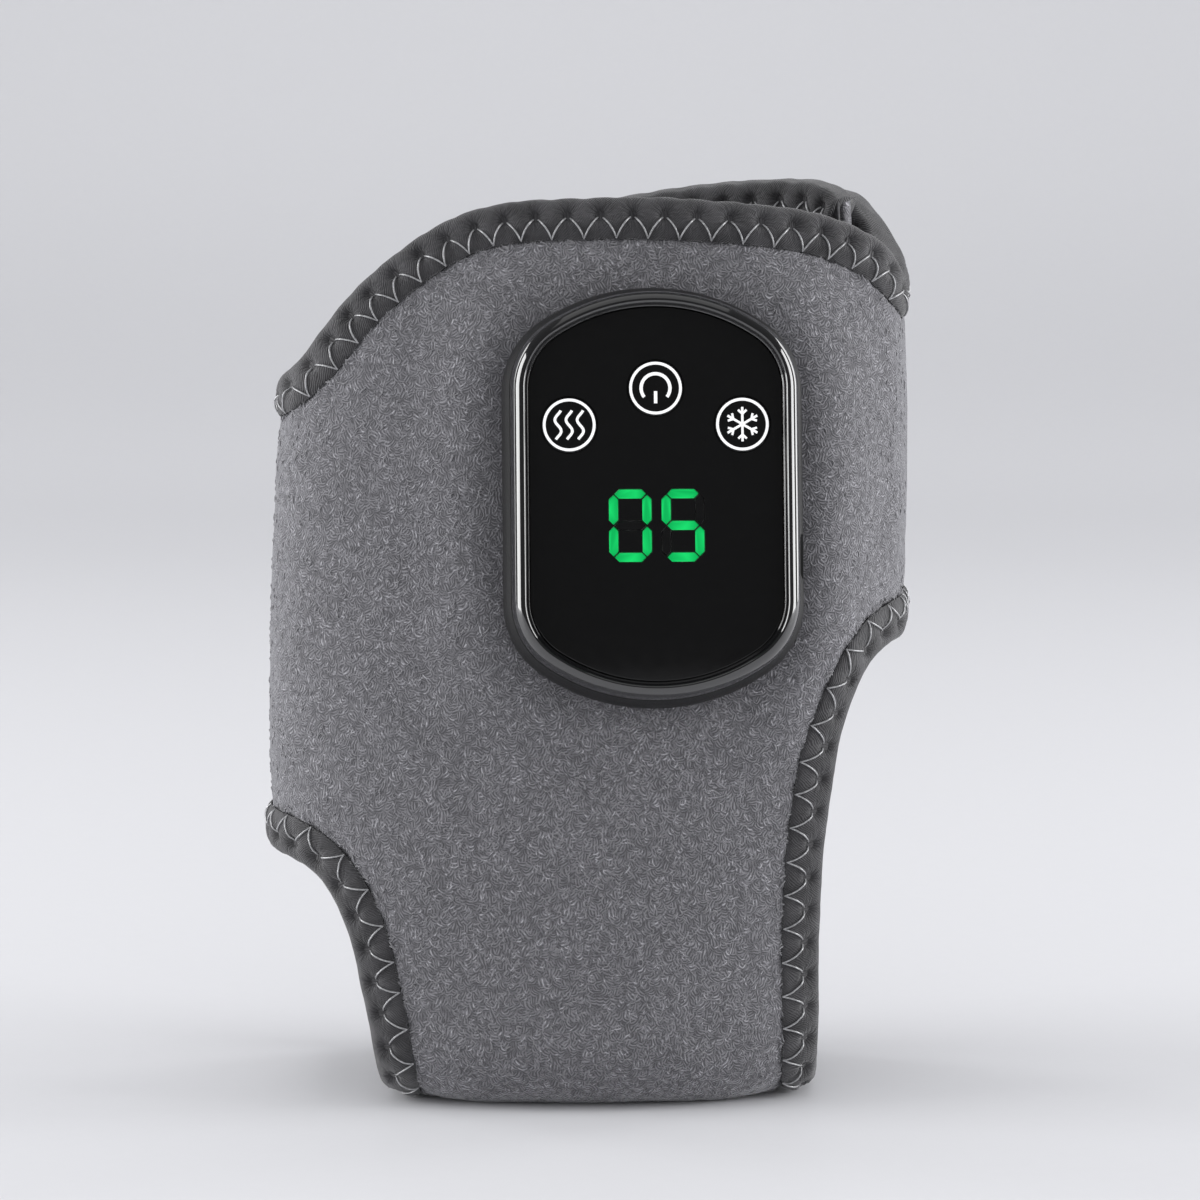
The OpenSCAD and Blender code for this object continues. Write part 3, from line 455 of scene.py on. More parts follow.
    def case_arcs(self):
        """Middles and radius of the arcs that make the case's outline, and where they meet."""
        corner_x = self.case_w / 2 - self.corner_r
        rise = self.case_h / 2 - self.case_side
        crown_r = (corner_x**2 + rise**2 - self.corner_r**2) / (2 * (rise - self.corner_r))
        crown_y = self.case_h / 2 - crown_r
        return corner_x, crown_r, crown_y, math.atan2(self.case_side - crown_y, corner_x)

    def case_outline(self, inset, corner_steps=14, crown_steps=12):
        """The case's outline, drawn in by inset, as points on its seat."""
        corner_x, crown_r, crown_y, meet = self.case_arcs()
        quarter = []
        for k in range(corner_steps + 1):
            a = meet * k / corner_steps
            r = self.corner_r - inset
            quarter.append((corner_x + r * math.cos(a), self.case_side + r * math.sin(a)))
        for k in range(1, crown_steps + 1):
            a = mix(meet, math.pi / 2, k / crown_steps)
            r = crown_r - inset
            quarter.append((r * math.cos(a), crown_y + r * math.sin(a)))
        half = quarter + [(-x, y) for x, y in reversed(quarter[:-1])]
        return half + [(-x, -y) for x, y in half]


# ---- Meshes ------------------------------------------------------------------------------


def grid_mesh(columns, rows, place, uv=None, around=False):
    """A grid of squares, each corner put where place(column, row) says.

    Around joins the last row to the first.
    """
    mesh = bmesh.new()
    bmesh.ops.create_grid(mesh, x_segments=columns, y_segments=rows, size=0.5)
    spots = {}
    for vert in mesh.verts:
        spots[vert] = (round((vert.co.x + 0.5) * columns), round((vert.co.y + 0.5) * rows))
    if uv:
        layer = mesh.loops.layers.uv.new("cloth")
        for face in mesh.faces:
            for loop in face.loops:
                loop[layer].uv = uv(*spots[loop.vert])
    for vert, (column, row) in spots.items():
        vert.co = place(column, row % rows if around else row)
    bmesh.ops.remove_doubles(mesh, verts=mesh.verts, dist=0.001 * MM)
    return mesh


def close_ends(mesh):
    """Caps a tube's two open ends."""
    rims = [edge for edge in mesh.edges if edge.is_boundary]
    bmesh.ops.holes_fill(mesh, edges=rims, sides=0)


def outward(mesh):
    """Turns all faces of a closed mesh outwards."""
    bmesh.ops.recalc_face_normals(mesh, faces=mesh.faces)


def make_piece(name, mesh, material, body, slot, replaces=(), flat_angle=None, matrix=None):
    """Turns a finished bmesh into a named piece that rides on a body."""
    if matrix:
        mesh.transform(matrix)
    data = bpy.data.meshes.new(name)
    mesh.to_mesh(data)
    mesh.free()
    return dress(name, data, material, body, slot, replaces, flat_angle)


def dress(name, data, material, body, slot, replaces=(), flat_angle=None):
    """Makes mesh data a named piece with its material and body; the slot is not used."""
    data.shade_smooth()
    if flat_angle:
        data.set_sharp_from_angle(angle=math.radians(flat_angle))
    piece = bpy.data.objects.new(name, data)
    bpy.context.scene.collection.objects.link(piece)
    piece.data.materials.append(material)
    if body:
        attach(piece, body)
    if replaces:
        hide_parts(*replaces)
    return piece


def tubes(name, lines, radius, sides=6, closed=False):
    """Round threads along lines of (point, share of the radius), as one mesh."""
    curve = bpy.data.curves.new(name, "CURVE")
    curve.dimensions = "3D"
    curve.bevel_depth = radius
    curve.bevel_resolution = max(0, sides // 2 - 2)
    curve.use_fill_caps = True
    for line in lines:
        path = curve.splines.new("POLY")
        path.points.add(len(line) - 1)
        path.use_cyclic_u = closed
        for spot, (point, width) in zip(path.points, line):
            spot.co = (*point, 1)
            spot.radius = width
    holder = bpy.data.objects.new(name, curve)
    data = bpy.data.meshes.new_from_object(holder)
    bpy.data.objects.remove(holder)
    bpy.data.curves.remove(curve)
    return data


# ---- Edges of the cloth ------------------------------------------------------------------


class EdgePath:
    """An edge of the cloth as evenly spaced places, with the way out of the cloth at each."""

    def __init__(self, skin, place, pitch, fine=600, loop=False, steps_a_pitch=14):
        spots = [place(k / fine) for k in range(fine + 1)]
        points = [skin(turn, level) for turn, level in spots]
        along = [0.0]
        for a, b in zip(points, points[1:]):
            along.append(along[-1] + (b - a).length)
        self.skin, self.loop = skin, loop
        self.stitches = round(along[-1] / pitch)
        self.pitch = along[-1] / self.stitches
        self.count = self.stitches * steps_a_pitch
        self.step = along[-1] / self.count
        self.frames = []
        k = 0
        for n in range(self.count + (0 if loop else 1)):
            while k < fine - 1 and along[k + 1] < n * self.step:
                k += 1
            t = clamp((n * self.step - along[k]) / (along[k + 1] - along[k]))
            self.frames.append(self.frame(place((k + t) / fine)))
        self.set_out()

    def frame(self, spot):
        """Point, normal and the ways round and up at a place."""
        turn, level = spot
        step = 0.5 * MM
        point = self.skin(turn, level)
        normal = (point - self.skin(turn, level, MM)).normalized()
        around = self.skin(turn + 0.5, level) - self.skin(turn - 0.5, level)
        up = (self.skin(turn, level + step) - self.skin(turn, level - step)) / (2 * step)
        return {
            "turn": turn, "level": level, "point": point, "normal": normal, "around": around, "up": up,
        }

    def set_out(self):
        """Finds the way along the edge and the way out of the cloth at each place."""
        last = len(self.frames) - 1
        for n, spot in enumerate(self.frames):
            before = self.frames[n - 1] if n or self.loop else spot
            after = self.frames[(n + 1) % (last + 1)] if n < last or self.loop else spot
            tangent = (after["point"] - before["point"]).normalized()
            spot["tangent"] = tangent
            spot["out"] = tangent.cross(spot["normal"]).normalized()

    def spot(self, along):
        """The frame nearest to a length along the edge."""
        n = round(along / self.step)
        return self.frames[n % self.count if self.loop else max(0, min(len(self.frames) - 1, n))]

    def at(self, n, inset, height):
        """The point that lies inset from the edge and height over the cloth's outer face."""
        spot = self.frames[n % len(self.frames)]
        inner = max(0.0, inset)
        out, around, up = spot["out"], spot["around"], spot["up"]
        turn = spot["turn"] - inner * out.dot(around) / around.length_squared
        level = spot["level"] - inner * out.dot(up) / up.length_squared
        return self.skin(turn, level, -height) + max(0.0, -inset) * out


def edge_paths(form, pitch):
    """The four bound edges: round the rim, the heel opening, the toe opening and the flap."""
    cols, rows = form.COLS, form.ROWS

    def rim(t):
        i = cols * (1 - 2 * t)
        return form.edge_place(FRONT, i, rows) if i >= 0 else form.edge_place(BACK, -i, rows)

    def heel(t):
        j = form.HEEL_TOP_ROW * (1 - 2 * ((0.5 - t) % 1))
        return form.edge_place(BACK, 0, j) if j >= 0 else form.edge_place(FRONT, 0, -j)

    under_rim = rows - (form.binding_w + 0.5 * MM) * form.RIM_ROWS / (form.wrap_h - form.toe_open_h)

    def toe(t):
        j = mix(under_rim, -form.TOE_TOP_ROW, t)
        return form.edge_place(BACK, cols, j) if j >= 0 else form.edge_place(FRONT, cols, -j)

    def flap(t):
        k, r = form.FLAP_COLS, form.FLAP_ROWS
        p = t * (2 * k + r)
        if p <= k:
            return form.flap_place(p, 0)
        return form.flap_place(k, p - k) if p <= k + r else form.flap_place(2 * k + r - p, r)

    return {
        "top": EdgePath(form.wrap_skin, rim, pitch),
        "heel": EdgePath(form.wrap_skin, heel, pitch, loop=True),
        "toe": EdgePath(form.wrap_skin, toe, pitch),
        "flap": EdgePath(form.flap_skin, flap, pitch),
    }


# ---- Finishes ----------------------------------------------------------------------------


class Value:
    """A number in a finish, so that shader maths reads as arithmetic."""

    def __init__(self, finish, socket):
        self.finish, self.socket = finish, socket

    def __add__(self, other):
        return self.finish.maths("ADD", self, other)

    def __radd__(self, other):
        return self.finish.maths("ADD", other, self)

    def __sub__(self, other):
        return self.finish.maths("SUBTRACT", self, other)

    def __rsub__(self, other):
        return self.finish.maths("SUBTRACT", other, self)

    def __mul__(self, other):
        return self.finish.maths("MULTIPLY", self, other)

    def __rmul__(self, other):
        return self.finish.maths("MULTIPLY", other, self)

    def __truediv__(self, other):
        return self.finish.maths("DIVIDE", self, other)

    def __pow__(self, other):
        return self.finish.maths("POWER", self, other)


class Finish:
    """One material, built node by node."""

    def __init__(self, name):
        self.material = bpy.data.materials.new(name)
        self.material.use_nodes = True
        self.tree = self.material.node_tree
        self.tree.nodes.clear()

    def node(self, kind, settings=None, inputs=None, output=0):
        """Adds a node, sets it and returns one of its outputs."""
        made = self.tree.nodes.new(kind)
        for name, value in (settings or {}).items():
            if name == "stops":
                for k, (place, tone) in enumerate(value):
                    ramp = made.color_ramp.elements
                    stop = ramp[k] if k < len(ramp) else ramp.new(place)
                    stop.position, stop.color = place, (*tone, 1)
            else:
                setattr(made, name, value)
        for name, value in (inputs or {}).items():
            socket = next(s for s in made.inputs if name in (s.identifier, s.name) and s.enabled)
            if isinstance(value, Value):
                self.tree.links.new(value.socket, socket)
            elif hasattr(value, "__len__") and len(value) == 3 and len(socket.default_value) == 4:
                socket.default_value = (*value, 1)
            else:
                socket.default_value = value
        shown = [s for s in made.outputs if s.enabled]
        if not shown:
            return made
        found = shown[output] if isinstance(output, int) else next(s for s in shown if s.name == output)
        return Value(self, found)

    def maths(self, operation, first, second=0.0):
        """One Math node on numbers or values."""
        made = self.tree.nodes.new("ShaderNodeMath")
        made.operation = operation
        for socket, value in zip(made.inputs, (first, second)):
            if isinstance(value, Value):
                self.tree.links.new(value.socket, socket)
            else:
                socket.default_value = value
        return Value(self, made.outputs[0])

    def sine(self, value):
        """The sine of an angle."""
        return self.maths("SINE", value)

    def span(self, value, low, high, to_low=0.0, to_high=1.0, shape="SMOOTHSTEP"):
        """Value brought from one range to another, and held there."""
        return self.node(
            "ShaderNodeMapRange",
            {"interpolation_type": shape},
            {"Value": value, "From Min": low, "From Max": high, "To Min": to_low, "To Max": to_high},
        )

    def place(self):
        """Where a point lies on the object, in metres."""
        return self.node("ShaderNodeTexCoord", output="Object")

    def cloth_place(self):
        """The piece's own place along and across the cloth, in metres."""
        return self.node("ShaderNodeUVMap", {"uv_map": "cloth"})

    def parts(self, vector):
        """The three numbers of a vector."""
        split = self.node("ShaderNodeSeparateXYZ", inputs={"Vector": vector})
        return [Value(self, s) for s in split.socket.node.outputs]

    def noise(self, vector, size, detail=1.0, roughness=0.5, output=0):
        """Noise whose blobs are about size metres across."""
        inputs = {"Vector": vector, "Scale": 1 / size, "Detail": detail, "Roughness": roughness}
        return self.node("ShaderNodeTexNoise", {"noise_dimensions": "3D"}, inputs, output)

    def cells(self, vector, size, output):
        """Scattered cells about size metres across."""
        inputs = {"Vector": vector, "Scale": 1 / size}
        return self.node("ShaderNodeTexVoronoi", {"feature": "F1"}, inputs, output)

    def vector(self, operation, *inputs):
        """One Vector Math node."""
        named = dict(zip(("Vector", "Vector_001", "Vector_002"), inputs))
        return self.node("ShaderNodeVectorMath", {"operation": operation}, named)

    def strands(self, place, cell, pitch):
        """Curved ridges that lie along the surface, in cells that each have their own way."""
        spot = self.cells(place, cell, "Position")
        found = spot.socket.node.outputs
        chance, away = Value(self, found["Color"]), Value(self, found["Distance"])
        normal = self.node("ShaderNodeTexCoord", output="Normal")
        way = self.vector("SUBTRACT", chance, (0.5,) * 3)
        side = self.vector("NORMALIZE", self.vector("CROSS_PRODUCT", way, normal))
        off = self.vector("SUBTRACT", place, spot)
        run = self.vector("DOT_PRODUCT", off, self.vector("CROSS_PRODUCT", side, normal))
        bend, start, _ = self.parts(chance)
        across = self.vector("DOT_PRODUCT", off, side) + run * run * (bend - 0.5) * (1.3 / MM)
        ridge = 0.5 + 0.5 * self.sine(across * (2 * math.pi / pitch) + start * 6.0)
        return ridge * self.span(away, 0.38, 0.72, 1.0, 0.45)

    def shift(self, vector, by, amount):
        """A vector moved by a colour of noise, which is grey at no move."""
        return self.vector("MULTIPLY_ADD", by, (amount,) * 3, vector)

    def blend(self, factor, first, second):
        """A colour between two."""
        return self.node(
            "ShaderNodeMix",
            {"data_type": "RGBA"},
            {"Factor_Float": factor, "A_Color": first, "B_Color": second},
        )

    def bump(self, height, distance, strength):
        """A surface normal bent by a height, which is distance metres at 1."""
        inputs = {"Height": height, "Distance": distance, "Strength": strength}
        return self.node("ShaderNodeBump", inputs=inputs)

    def principled(self, **inputs):
        """The surface shader, whose inputs are named with underscores, and the finished material."""
        named = {name.replace("_", " "): value for name, value in inputs.items()}
        surface = self.node("ShaderNodeBsdfPrincipled", inputs=named)
        self.node("ShaderNodeOutputMaterial", inputs={"Surface": surface})
        return self.material


def pile_finish(colours):
    """Short loop pile: thin strands that lie every way, with painted shade in the hollows between them
    and painted glints on their tops.
    """
    f = Finish("loop_pile")
    place = f.place()
    curled = f.shift(place, f.noise(place, 1.6 * MM, 1.0, output="Color"), 0.7 * MM)
    upper = f.strands(curled, 1.7 * MM, 0.72 * MM)
    lower = f.strands(f.vector("ADD", curled, (0.031, 0.017, 0.023)), 1.3 * MM, 0.56 * MM)
    broken = f.span(f.noise(place, 1.1 * MM, 0.0), 0.36, 0.58)
    ridge = f.maths("MAXIMUM", upper * broken, lower * 0.8)
    fibre = f.noise(place, 0.2 * MM, 2.0, 0.6)
    mottle = f.noise(place, 9 * MM, 3.0, 0.6)
    tall = ridge * 0.8 + fibre * 0.3
    # The colour darkens where the pile is low: painted shade in the hollows, with a little random mottle.
    tone = f.span(tall + (mottle - 0.5) * 0.12, 0.1, 1.0, shape="LINEAR")
    hollow_shade, pile = tuple(colours.pile_deep), tuple(colours.pile)
    # Painted highlights: paler glints on the strands' tops.
    glint = f.span(ridge, 0.72, 1.0) * f.span(f.noise(place, 0.8 * MM, 1.0), 0.46, 0.62)
    pale = tuple(min(1.0, c * 1.6) for c in pile)
    return f.principled(
        Base_Color=f.blend(glint, f.blend(tone, hollow_shade, pile), pale),
        Roughness=0.9,
        Normal=f.bump(tall, 0.25 * MM, 0.8),
        Specular_IOR_Level=0.25,
        Sheen_Weight=0.7,
        Sheen_Roughness=0.35,
        Sheen_Tint=(0.9, 0.9, 0.94, 1.0),
    )


def loop_finish(colours):
    """The yarn of single pile loops."""
    f = Finish("loop_yarn")
    place = f.place()
    fibre = f.noise(place, 0.3 * MM, 2.0)
    dark, pale = (tuple(min(1.0, c * k) for c in colours.pile) for k in (0.45, 0.95))
    return f.principled(
        Base_Color=f.blend(fibre, dark, pale),
        Roughness=0.85,
        Normal=f.bump(fibre, 0.1 * MM, 0.5),
        Sheen_Weight=0.5,
        Sheen_Roughness=0.45,
    )


def tape_finish(colours, stitch, hole_across, far_hole):
    """Fine ribbed stretch tape whose ribs are drawn into the needle holes, with painted shade in its
    creases and holes and painted highlights on its ribs.
    """
    f = Finish("binding_tape")
    along, across, _ = f.parts(f.cloth_place())
    place = f.place()
    beat = f.maths("FRACT", along * (1 / stitch.pitch))
    off = (beat - 0.5) * stitch.pitch
    drift = f.noise(place, 2.4 * MM, 1.0)
    fans, pull = 0.0, 0.0
    for row in (hole_across, far_hole):
        up = across - row
        reach = f.maths("SQRT", off * off + up * up)
        near = f.maths("EXPONENT", reach * (-1 / (2.1 * MM)))
        turn = f.maths("ARCTAN2", up, off)
        fan = f.sine(turn * 15.0 + drift * 16.0)
        fan = fan + 0.6 * f.sine(turn * 31.0 + reach * 3000.0 + drift * 9.0)
        fans = fan * near + fans
        pull = f.maths("MAXIMUM", near, pull)
    lean = f.sine(along * (2 * math.pi / stitch.pitch)) * 1.1
    slant = along * (2 * math.pi / (0.5 * MM)) + across * (2 * math.pi / (0.62 * MM))
    ribs = f.sine(slant + lean + drift * 17.0)
    fine = f.noise(place, 0.35 * MM, 2.0)
    weave = ribs * (1 - f.span(pull, 0.2, 0.6)) * 0.55 + fans * 0.95 + fine * 0.5
    mottle = f.noise(place, 5 * MM, 3.0, 0.6)
    # The ribs and the creases round the holes also set the colour: painted shade and painted highlight,
    # with random mottle.
    tone = f.span(weave * 0.26 + mottle, 0.25, 0.85, shape="LINEAR")
    # Painted shade: the needle holes are painted nearly black.
    dark, pale, hole_shade = (tuple(c * k for c in colours.tape) for k in (0.45, 1.55, 0.12))
    return f.principled(
        Base_Color=f.blend(f.span(pull, 0.6, 0.93), f.blend(tone, dark, pale), hole_shade),
        Roughness=0.7,
        Normal=f.bump(weave, 0.2 * MM, 0.6),
        Sheen_Weight=0.3,
        Sheen_Roughness=0.5,
        Specular_IOR_Level=0.3,
    )


def thread_finish(colours):
    """Bright twisted polyester thread."""
    f = Finish("silver_thread")
    place = f.place()
    ply = f.noise(place, 0.5 * MM, 1.0)
    dark, pale = (tuple(min(1.0, c * k) for c in colours.thread) for k in (0.8, 1.15))
    return f.principled(
        Base_Color=f.blend(f.span(ply, 0.35, 0.65), dark, pale),
        Roughness=0.28,
        Metallic=0.35,
        Normal=f.bump(ply, 0.05 * MM, 0.3),
    )


def lining_finish(colours):
    """Smooth dark knit: fine vees in wales."""
    f = Finish("knit_lining")
    along, across, _ = f.parts(f.cloth_place())
    place = f.place()
    wale = f.sine(along * (2 * math.pi / (1.1 * MM)))
    course = f.sine(across * (2 * math.pi / (0.9 * MM)) + f.maths("ABSOLUTE", wale) * 2.2)
    knit = course * 0.5 + f.maths("ABSOLUTE", wale) * 0.6
    mottle = f.noise(place, 12 * MM, 3.0)
    tone = f.span(knit * 0.3 + mottle, 0.2, 0.9, shape="LINEAR")
    dark, pale = (tuple(c * k for c in colours.lining) for k in (0.6, 1.6))
    return f.principled(
        Base_Color=f.blend(tone, dark, pale),
        Roughness=0.82,
        Normal=f.bump(knit, 0.2 * MM, 0.5),
        Sheen_Weight=0.25,
        Sheen_Roughness=0.4,
    )


def gloss_finish(name, tone, roughness=0.06, coat=0.6, level=0.5):
    """Polished black plastic with the faint unevenness of a moulding."""
    f = Finish(name)
    place = f.place()
    wave = f.noise(place, 9 * MM, 1.0)
    haze = f.noise(place, 2.5 * MM, 3.0)
    return f.principled(
        Base_Color=f.blend(haze, tuple(tone), tuple(c * 1.25 for c in tone)),
        Roughness=f.span(haze, 0.2, 0.8, roughness * 0.75, roughness * 1.3, "LINEAR"),
        Normal=f.bump(wave, 0.02 * MM, 0.25),
        Coat_Weight=coat,
        Coat_Roughness=0.04,
        Specular_IOR_Level=level,
    )


def matt_finish(name, tone, grain=0.35, roughness=0.5):
    """Spark-eroded plastic: an even fine grain."""
    f = Finish(name)
    place = f.place()
    spark = f.noise(place, grain * MM, 2.0, 0.6)
    wear = f.noise(place, 8 * MM, 3.0)
    dark, pale = (tuple(min(1.0, c * k) for c in tone) for k in (0.8, 1.25))
    return f.principled(
        Base_Color=f.blend(f.span(spark * 0.5 + wear * 0.5, 0.3, 0.7), dark, pale),
        Roughness=f.span(spark, 0.3, 0.7, roughness - 0.06, roughness + 0.08, "LINEAR"),
        Normal=f.bump(spark, 0.06 * MM, 0.35),
    )


def ink_finish(colours):
    """White icon print, lit softly from behind."""
    f = Finish("white_icons")
    grain = f.noise(f.place(), 0.6 * MM, 2.0)
    tone = f.blend(grain, tuple(c * 0.94 for c in colours.ink), tuple(colours.ink))
    return f.principled(Base_Color=tone, Roughness=0.4, Emission_Color=tone, Emission_Strength=0.25)


def lit_finish(colours):
    """A green segment, brightest over its lamp."""
    f = Finish("lit_segment")
    glow = f.node("ShaderNodeAttribute", {"attribute_name": "glow"}, output="Fac")
    low, high = (tuple(min(1.0, c * k + a) for c in colours.lit) for k, a in ((0.5, 0.0), (1.32, 0.012)))
    tone = f.blend(glow, low, high)
    return f.principled(
        Base_Color=(0.0, 0.02, 0.005, 1), Roughness=0.3, Specular_IOR_Level=0.1, Emission_Color=tone,
        Emission_Strength=1.0,
    )


def metal_finish(name, tone, roughness, grain):
    """Plated, drawn or blasted metal, whose grain is longest where its share is least."""
    f = Finish(name)
    place = f.place()
    drawn = f.node("ShaderNodeMapping", inputs={"Vector": place, "Scale": grain})
    grit = f.noise(drawn, 0.12 * MM, 2.0)
    haze = f.noise(place, 5 * MM, 3.0)
    return f.principled(
        Base_Color=f.blend(haze, tuple(c * 0.88 for c in tone), tuple(tone)),
        Metallic=1.0,
        Roughness=f.span(grit * 0.5 + haze * 0.5, 0.3, 0.7, roughness - 0.07, roughness + 0.1, "LINEAR"),
        Normal=f.bump(grit, 0.03 * MM, 0.35),
    )


# ---- The cloth ---------------------------------------------------------------------------


class Tape:
    """The binding's section, folded over the cloth's edge, and how the stitching draws it in."""

    # Inset from the edge and height over the cloth's faces, in millimetres; F is the inner face.
    OUTER = [(7.9, 0.1), (7.2, 0.75), (5.2, 1.15), (2.7, 1.05), (0.9, 1.1), (-0.5, 0.45)]
    HIDDEN = [(7.7, 0.3), (4.0, 0.45), (-0.2, 0.2)]
    EDGE_OUT = -1.0
    ROWS = 42

    def __init__(self, form, stitch):
        self.form, self.stitch = form, stitch
        face = form.fabric_t / MM
        out, round_out = self.EDGE_OUT, self.EDGE_OUT + 0.05
        edge = [(round_out, -0.9), (out, -face / 2), (round_out, 0.9 - face)]
        shown = self.OUTER + edge + [(inset, -face - height) for inset, height in reversed(self.OUTER)]
        shown = [Vector(p) * MM for p in shown]
        fine = [spline(shown, k * (len(shown) - 1) / 400) for k in range(401)]
        run = [0.0]
        for a, b in zip(fine, fine[1:]):
            run.append(run[-1] + (b - a).length)
        self.width = run[-1]
        self.section, self.across = [], []
        for k in range(self.ROWS + 1):
            want = self.width * k / self.ROWS
            n = next((i for i in range(400) if run[i + 1] >= want), 399)
            self.section.append(fine[n].lerp(fine[n + 1], (want - run[n]) / (run[n + 1] - run[n])))
            self.across.append(want)
        hidden = [(inset, -face - height) for inset, height in self.HIDDEN]
        hidden += [(inset, height) for inset, height in reversed(self.HIDDEN)]
        self.hidden = [Vector(p) * MM for p in hidden]
        self.normals = []
        for k, spot in enumerate(self.section):
            before, after = self.section[max(0, k - 1)], self.section[min(self.ROWS, k + 1)]
            along = (after - before).normalized()
            self.normals.append(Vector((along.y, -along.x)))
        half = self.ROWS // 2
        self.hole_across = self.across_at(range(half))
        self.far_hole = self.across_at(range(half, self.ROWS))

    def across_at(self, rows):
        """Place across the tape of the hole row on one face."""
        near = min(rows, key=lambda k: abs(self.section[k].x - self.stitch.hole_in))
        return self.across[near]

    def swell(self, along, across, pitch, seed):
        """How far the tape stands above its plain section."""
        lift = 0.0
        beat = along / pitch - math.floor(along / pitch) - 0.5
        off = beat * pitch
        for row in (self.hole_across, self.far_hole):
            up = across - row
            reach = math.hypot(off, up)
            crease = math.cos(11 * math.atan2(up, off) + seed) * bell(reach - 1.7 * MM, 1.1 * MM)
            lift -= 1.3 * MM * bell(reach, 1.15 * MM) + 0.16 * MM * crease
            puff = bell(up, 2.2 * MM) * (0.5 - 0.5 * math.cos(2 * math.pi * beat))
            lift += 0.55 * MM * puff
            inner = math.hypot(min(off + pitch / 2, pitch / 2 - off), abs(up) - 5.0 * MM)
            lift -= 0.3 * MM * bell(inner, 1.2 * MM)
        wave = noise.noise(Vector((along * 260, across * 160, seed)))
        return lift + 0.13 * MM * wave

    def mesh(self, path, seed):
        """The tape along one edge, as a closed mesh."""
        form, count = self.form, len(self.section)
        rows = count + len(self.hidden)

        def place(column, row):
            column = column % path.count if path.loop else column
            if row >= count:
                spot = self.hidden[row - count]
                return path.at(column, spot.x, spot.y)
            lift = self.swell(column * path.step, self.across[row], path.pitch, seed)
            if row in (0, count - 1):
                lift = min(0.0, lift)
            spot = self.section[row] + self.normals[row] * lift
            return path.at(column, spot.x, spot.y)

        def uv(column, row):
            across = self.across[row] if row < count else self.width + 0.5 * MM * (row - count + 1)
            return column * path.step / path.pitch * self.stitch.pitch, across

        mesh = grid_mesh(path.count, rows, place, uv, around=True)
        if not path.loop:
            close_ends(mesh)
        outward(mesh)
        return mesh

    def height(self, along, inset, pitch, seed, far=False):
        """Where the tape's face is at an inset from the edge."""
        rows = range(self.ROWS // 2 + 1, self.ROWS + 1) if far else range(self.ROWS // 2)
        near = min(rows, key=lambda k: abs(self.section[k].x - inset))
        swell = self.swell(along, self.across[near], pitch, seed)
        return self.section[near].y + self.normals[near].y * swell


def edge_tree(paths):
    """All places of some edges, to measure from."""
    spots = []
    for name, path in paths.items():
        spots += [(name, n, spot["point"]) for n, spot in enumerate(path.frames)]
    tree = kdtree.KDTree(len(spots))
    for k, (_, _, point) in enumerate(spots):
        tree.insert(point, k)
    tree.balance()
    return tree, spots


def pile_height(form, stitch, tree, spots, paths, point):
    """Height of the pile over the cloth's plain outer face."""
    _, k, away = tree.find(point)
    name, n, _ = spots[k]
    path = paths[name]
    along = n * path.step / path.pitch
    beat = min(along - math.floor(along), 1 - along + math.floor(along)) * path.pitch
    line = stitch.pile_line
    under = -0.9 * MM
    roll = smooth((away - line + 1.0 * MM) / (1.9 * MM))
    pillow = smooth((away - line) / (7 * MM)) * 0.15 * MM
    pulled = 0.75 * MM * bell(beat, 1.3 * MM) * bell(away - line, 1.5 * MM)
    lumps = noise.noise(point * 420) * 0.13 * MM + noise.noise(point * 90) * 0.22 * MM
    return mix(under, stitch.pile_h + pillow + lumps, roll) - pulled


def press_round_case(form, point):
    """The cloth lies flat to the case's foot and swells a little outside it."""
    right, up, _ = form.case_place(point)
    inside = form.case_inset(right, up)
    return inside, 0.15 * MM * bell(inside + 6 * MM, 4 * MM) - 0.25 * MM * bell(inside, 2 * MM)


class SceneOperator:
    """What every maker of a piece shares."""

    bl_options = {"REGISTER", "UNDO"}

    @staticmethod
    def form(context):
        return WrapForm(context.scene.wrap_sizes, context.scene.case_sizes)

    @staticmethod
    def finish(name, maker, *facts):
        """A finish made once and shared."""
        return bpy.data.materials.get(name) or maker(*facts)


def cloth_grid(form, columns, rows, skin):
    """Columns from heel to toe, rows from the back rim under the sole to the front rim."""
    back, front = form.even_rows(BACK, rows), form.even_rows(FRONT, rows)

    def spot(column, row):
        side, j = (BACK, back[rows - row]) if row < rows else (FRONT, front[row - rows])
        across, level = form.grid(side, column * form.COLS / columns, j)
        return skin(side, max(-1.0, min(1.0, across)), level)

    def uv(column, row):
        return column * form.band_w / columns, row * 0.95 * form.wrap_h / rows

    return grid_mesh(columns, 2 * rows, spot, uv)


def case_hole(form, mesh, inset):
    """Opens the cloth where the controller passes through it."""
    gone = []
    for face in mesh.faces:
        right, up, out = form.case_place(face.calc_center_median())
        if abs(out) < 25 * MM and form.case_inset(right, up) > inset:
            gone.append(face)
    bmesh.ops.delete(mesh, geom=gone, context="FACES")


def thicken(piece, thickness):
    """Gives a cloth its thickness, inwards."""
    ply = piece.modifiers.new("ply", "SOLIDIFY")
    ply.thickness = thickness
    ply.offset = -1
    ply.use_quality_normals = True


